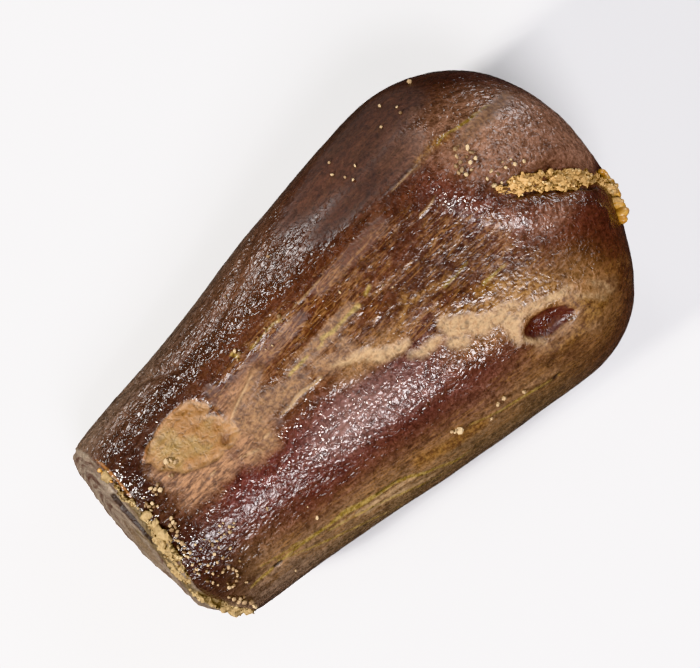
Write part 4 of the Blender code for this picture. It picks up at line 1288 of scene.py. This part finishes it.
# lamps: azimuth from +X towards +Y, elevation, distance and width in metres, power in watts, colour
lamps = {
    "end_lamp": (178.0, 31.0, 0.25, 0.035, 1.18, (1.0, 0.98, 0.94)),
    "left_lamp": (97.0, 13.0, 0.45, 0.12, 0.90, (1.0, 0.98, 0.97)),
    "flank_lamp": (-86.0, 42.0, 0.45, 0.12, 0.20, (1.0, 0.98, 1.0)),
    "near_lamp": (-117.0, 51.0, 0.45, 0.18, 2.40, (1.0, 0.98, 1.0)),
    "upper_lamp": (100.0, 70.0, 0.45, 0.06, 0.10, (1.0, 0.99, 0.98)),
    "wide_tip_lamp": (-6.0, 56.0, 0.50, 0.20, 0.70, (0.98, 0.98, 1.0)),
    "low_tip_lamp": (26.0, 11.0, 0.50, 0.20, 0.90, (1.0, 0.98, 1.0)),
}
# the camera looks down on the tooth; aim is where the target stands in a 700 by 668 picture
cameraView = {
    "azimuth": -42.5,
    "elevation": 72.0,
    "distance": 0.18,
    "target": (0.00053, -0.00019, 0.011),
    "lens": 125.9,
    "sensor": 36.0,
    "pictureSize": (700, 668),
    "aim": (367.0, 338.0),
}


def addFloor():
    half = stageLook["floorSize"] / 2.0
    mesh = bpy.data.meshes.new("floor")
    corners = [(-half, -half, 0), (half, -half, 0), (half, half, 0), (-half, half, 0)]
    mesh.from_pydata(corners, [], [(0, 1, 2, 3)])
    material, kit, shader = newMaterial("floor_paper")
    shader.inputs["Base Color"].default_value = stageLook["floorColour"]
    shader.inputs["Roughness"].default_value = stageLook["floorRoughness"]
    mesh.materials.append(material)
    floor = bpy.data.objects.new("floor", mesh)
    floor.visible_glossy = False        # the bright paper doesn't veil the skin
    scene.collection.objects.link(floor)


def addLamp(name, azimuth, elevation, distance, width, power, colour):
    around, up = math.radians(azimuth), math.radians(elevation)
    way = Vector((math.cos(around) * math.cos(up), math.sin(around) * math.cos(up), math.sin(up)))
    data = bpy.data.lights.new(name, "AREA")
    data.shape = "DISK"
    data.size = width
    data.energy = power
    data.color = colour
    lamp = bpy.data.objects.new(name, data)
    lamp.location = Vector(cameraView["target"]) + way * distance
    lamp.rotation_euler = way.to_track_quat("Z", "Y").to_euler()
    scene.collection.objects.link(lamp)


def addCamera():
    c = cameraView
    a, e = math.radians(c["azimuth"]), math.radians(c["elevation"])
    back = Vector((math.sin(a) * math.cos(e), -math.cos(a) * math.cos(e), math.sin(e)))
    right = Vector((math.cos(a), math.sin(a), 0.0))
    up = back.cross(right)
    data = bpy.data.cameras.new("camera")
    data.lens, data.sensor_width = c["lens"], c["sensor"]
    data.clip_start, data.clip_end = 0.01, 20.0
    perPixel = c["sensor"] * c["distance"] / c["lens"] / c["pictureSize"][0]
    offX = (c["pictureSize"][0] / 2.0 - c["aim"][0]) * perPixel
    offY = (c["aim"][1] - c["pictureSize"][1] / 2.0) * perPixel
    camera = bpy.data.objects.new("camera", data)
    camera.location = Vector(c["target"]) + back * c["distance"] + right * offX + up * offY
    camera.rotation_euler = (-back).to_track_quat("-Z", "Y").to_euler()
    scene.collection.objects.link(camera)
    scene.camera = camera


def addWorld():
    world = bpy.data.worlds.new("soft_daylight")
    world.use_nodes = True
    background = world.node_tree.nodes["Background"]
    background.inputs["Color"].default_value = stageLook["worldColour"]
    background.inputs["Strength"].default_value = stageLook["worldStrength"]
    scene.world = world


addFloor()
for name, lamp in lamps.items():
    addLamp(name, *lamp)
addCamera()
addWorld()
scene.view_settings.view_transform = "Khronos PBR Neutral"
print("stage: floor, lamps and camera")


# every piece rides on the frame's one body, and where it stands for an imported part, that part is hidden
pieces = [
    (tooth, "tooth", "fossil_enamel"),
    (groove, "groove_sandstone", "sandstone"),
    (end, "end_sandstone", "sandstone"),
    (grains, None, "sandstone"),
    (beads, None, "sandstone"),
]
for piece, node, slotName in pieces:
    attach(piece, "root")
    if node:
        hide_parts(node)
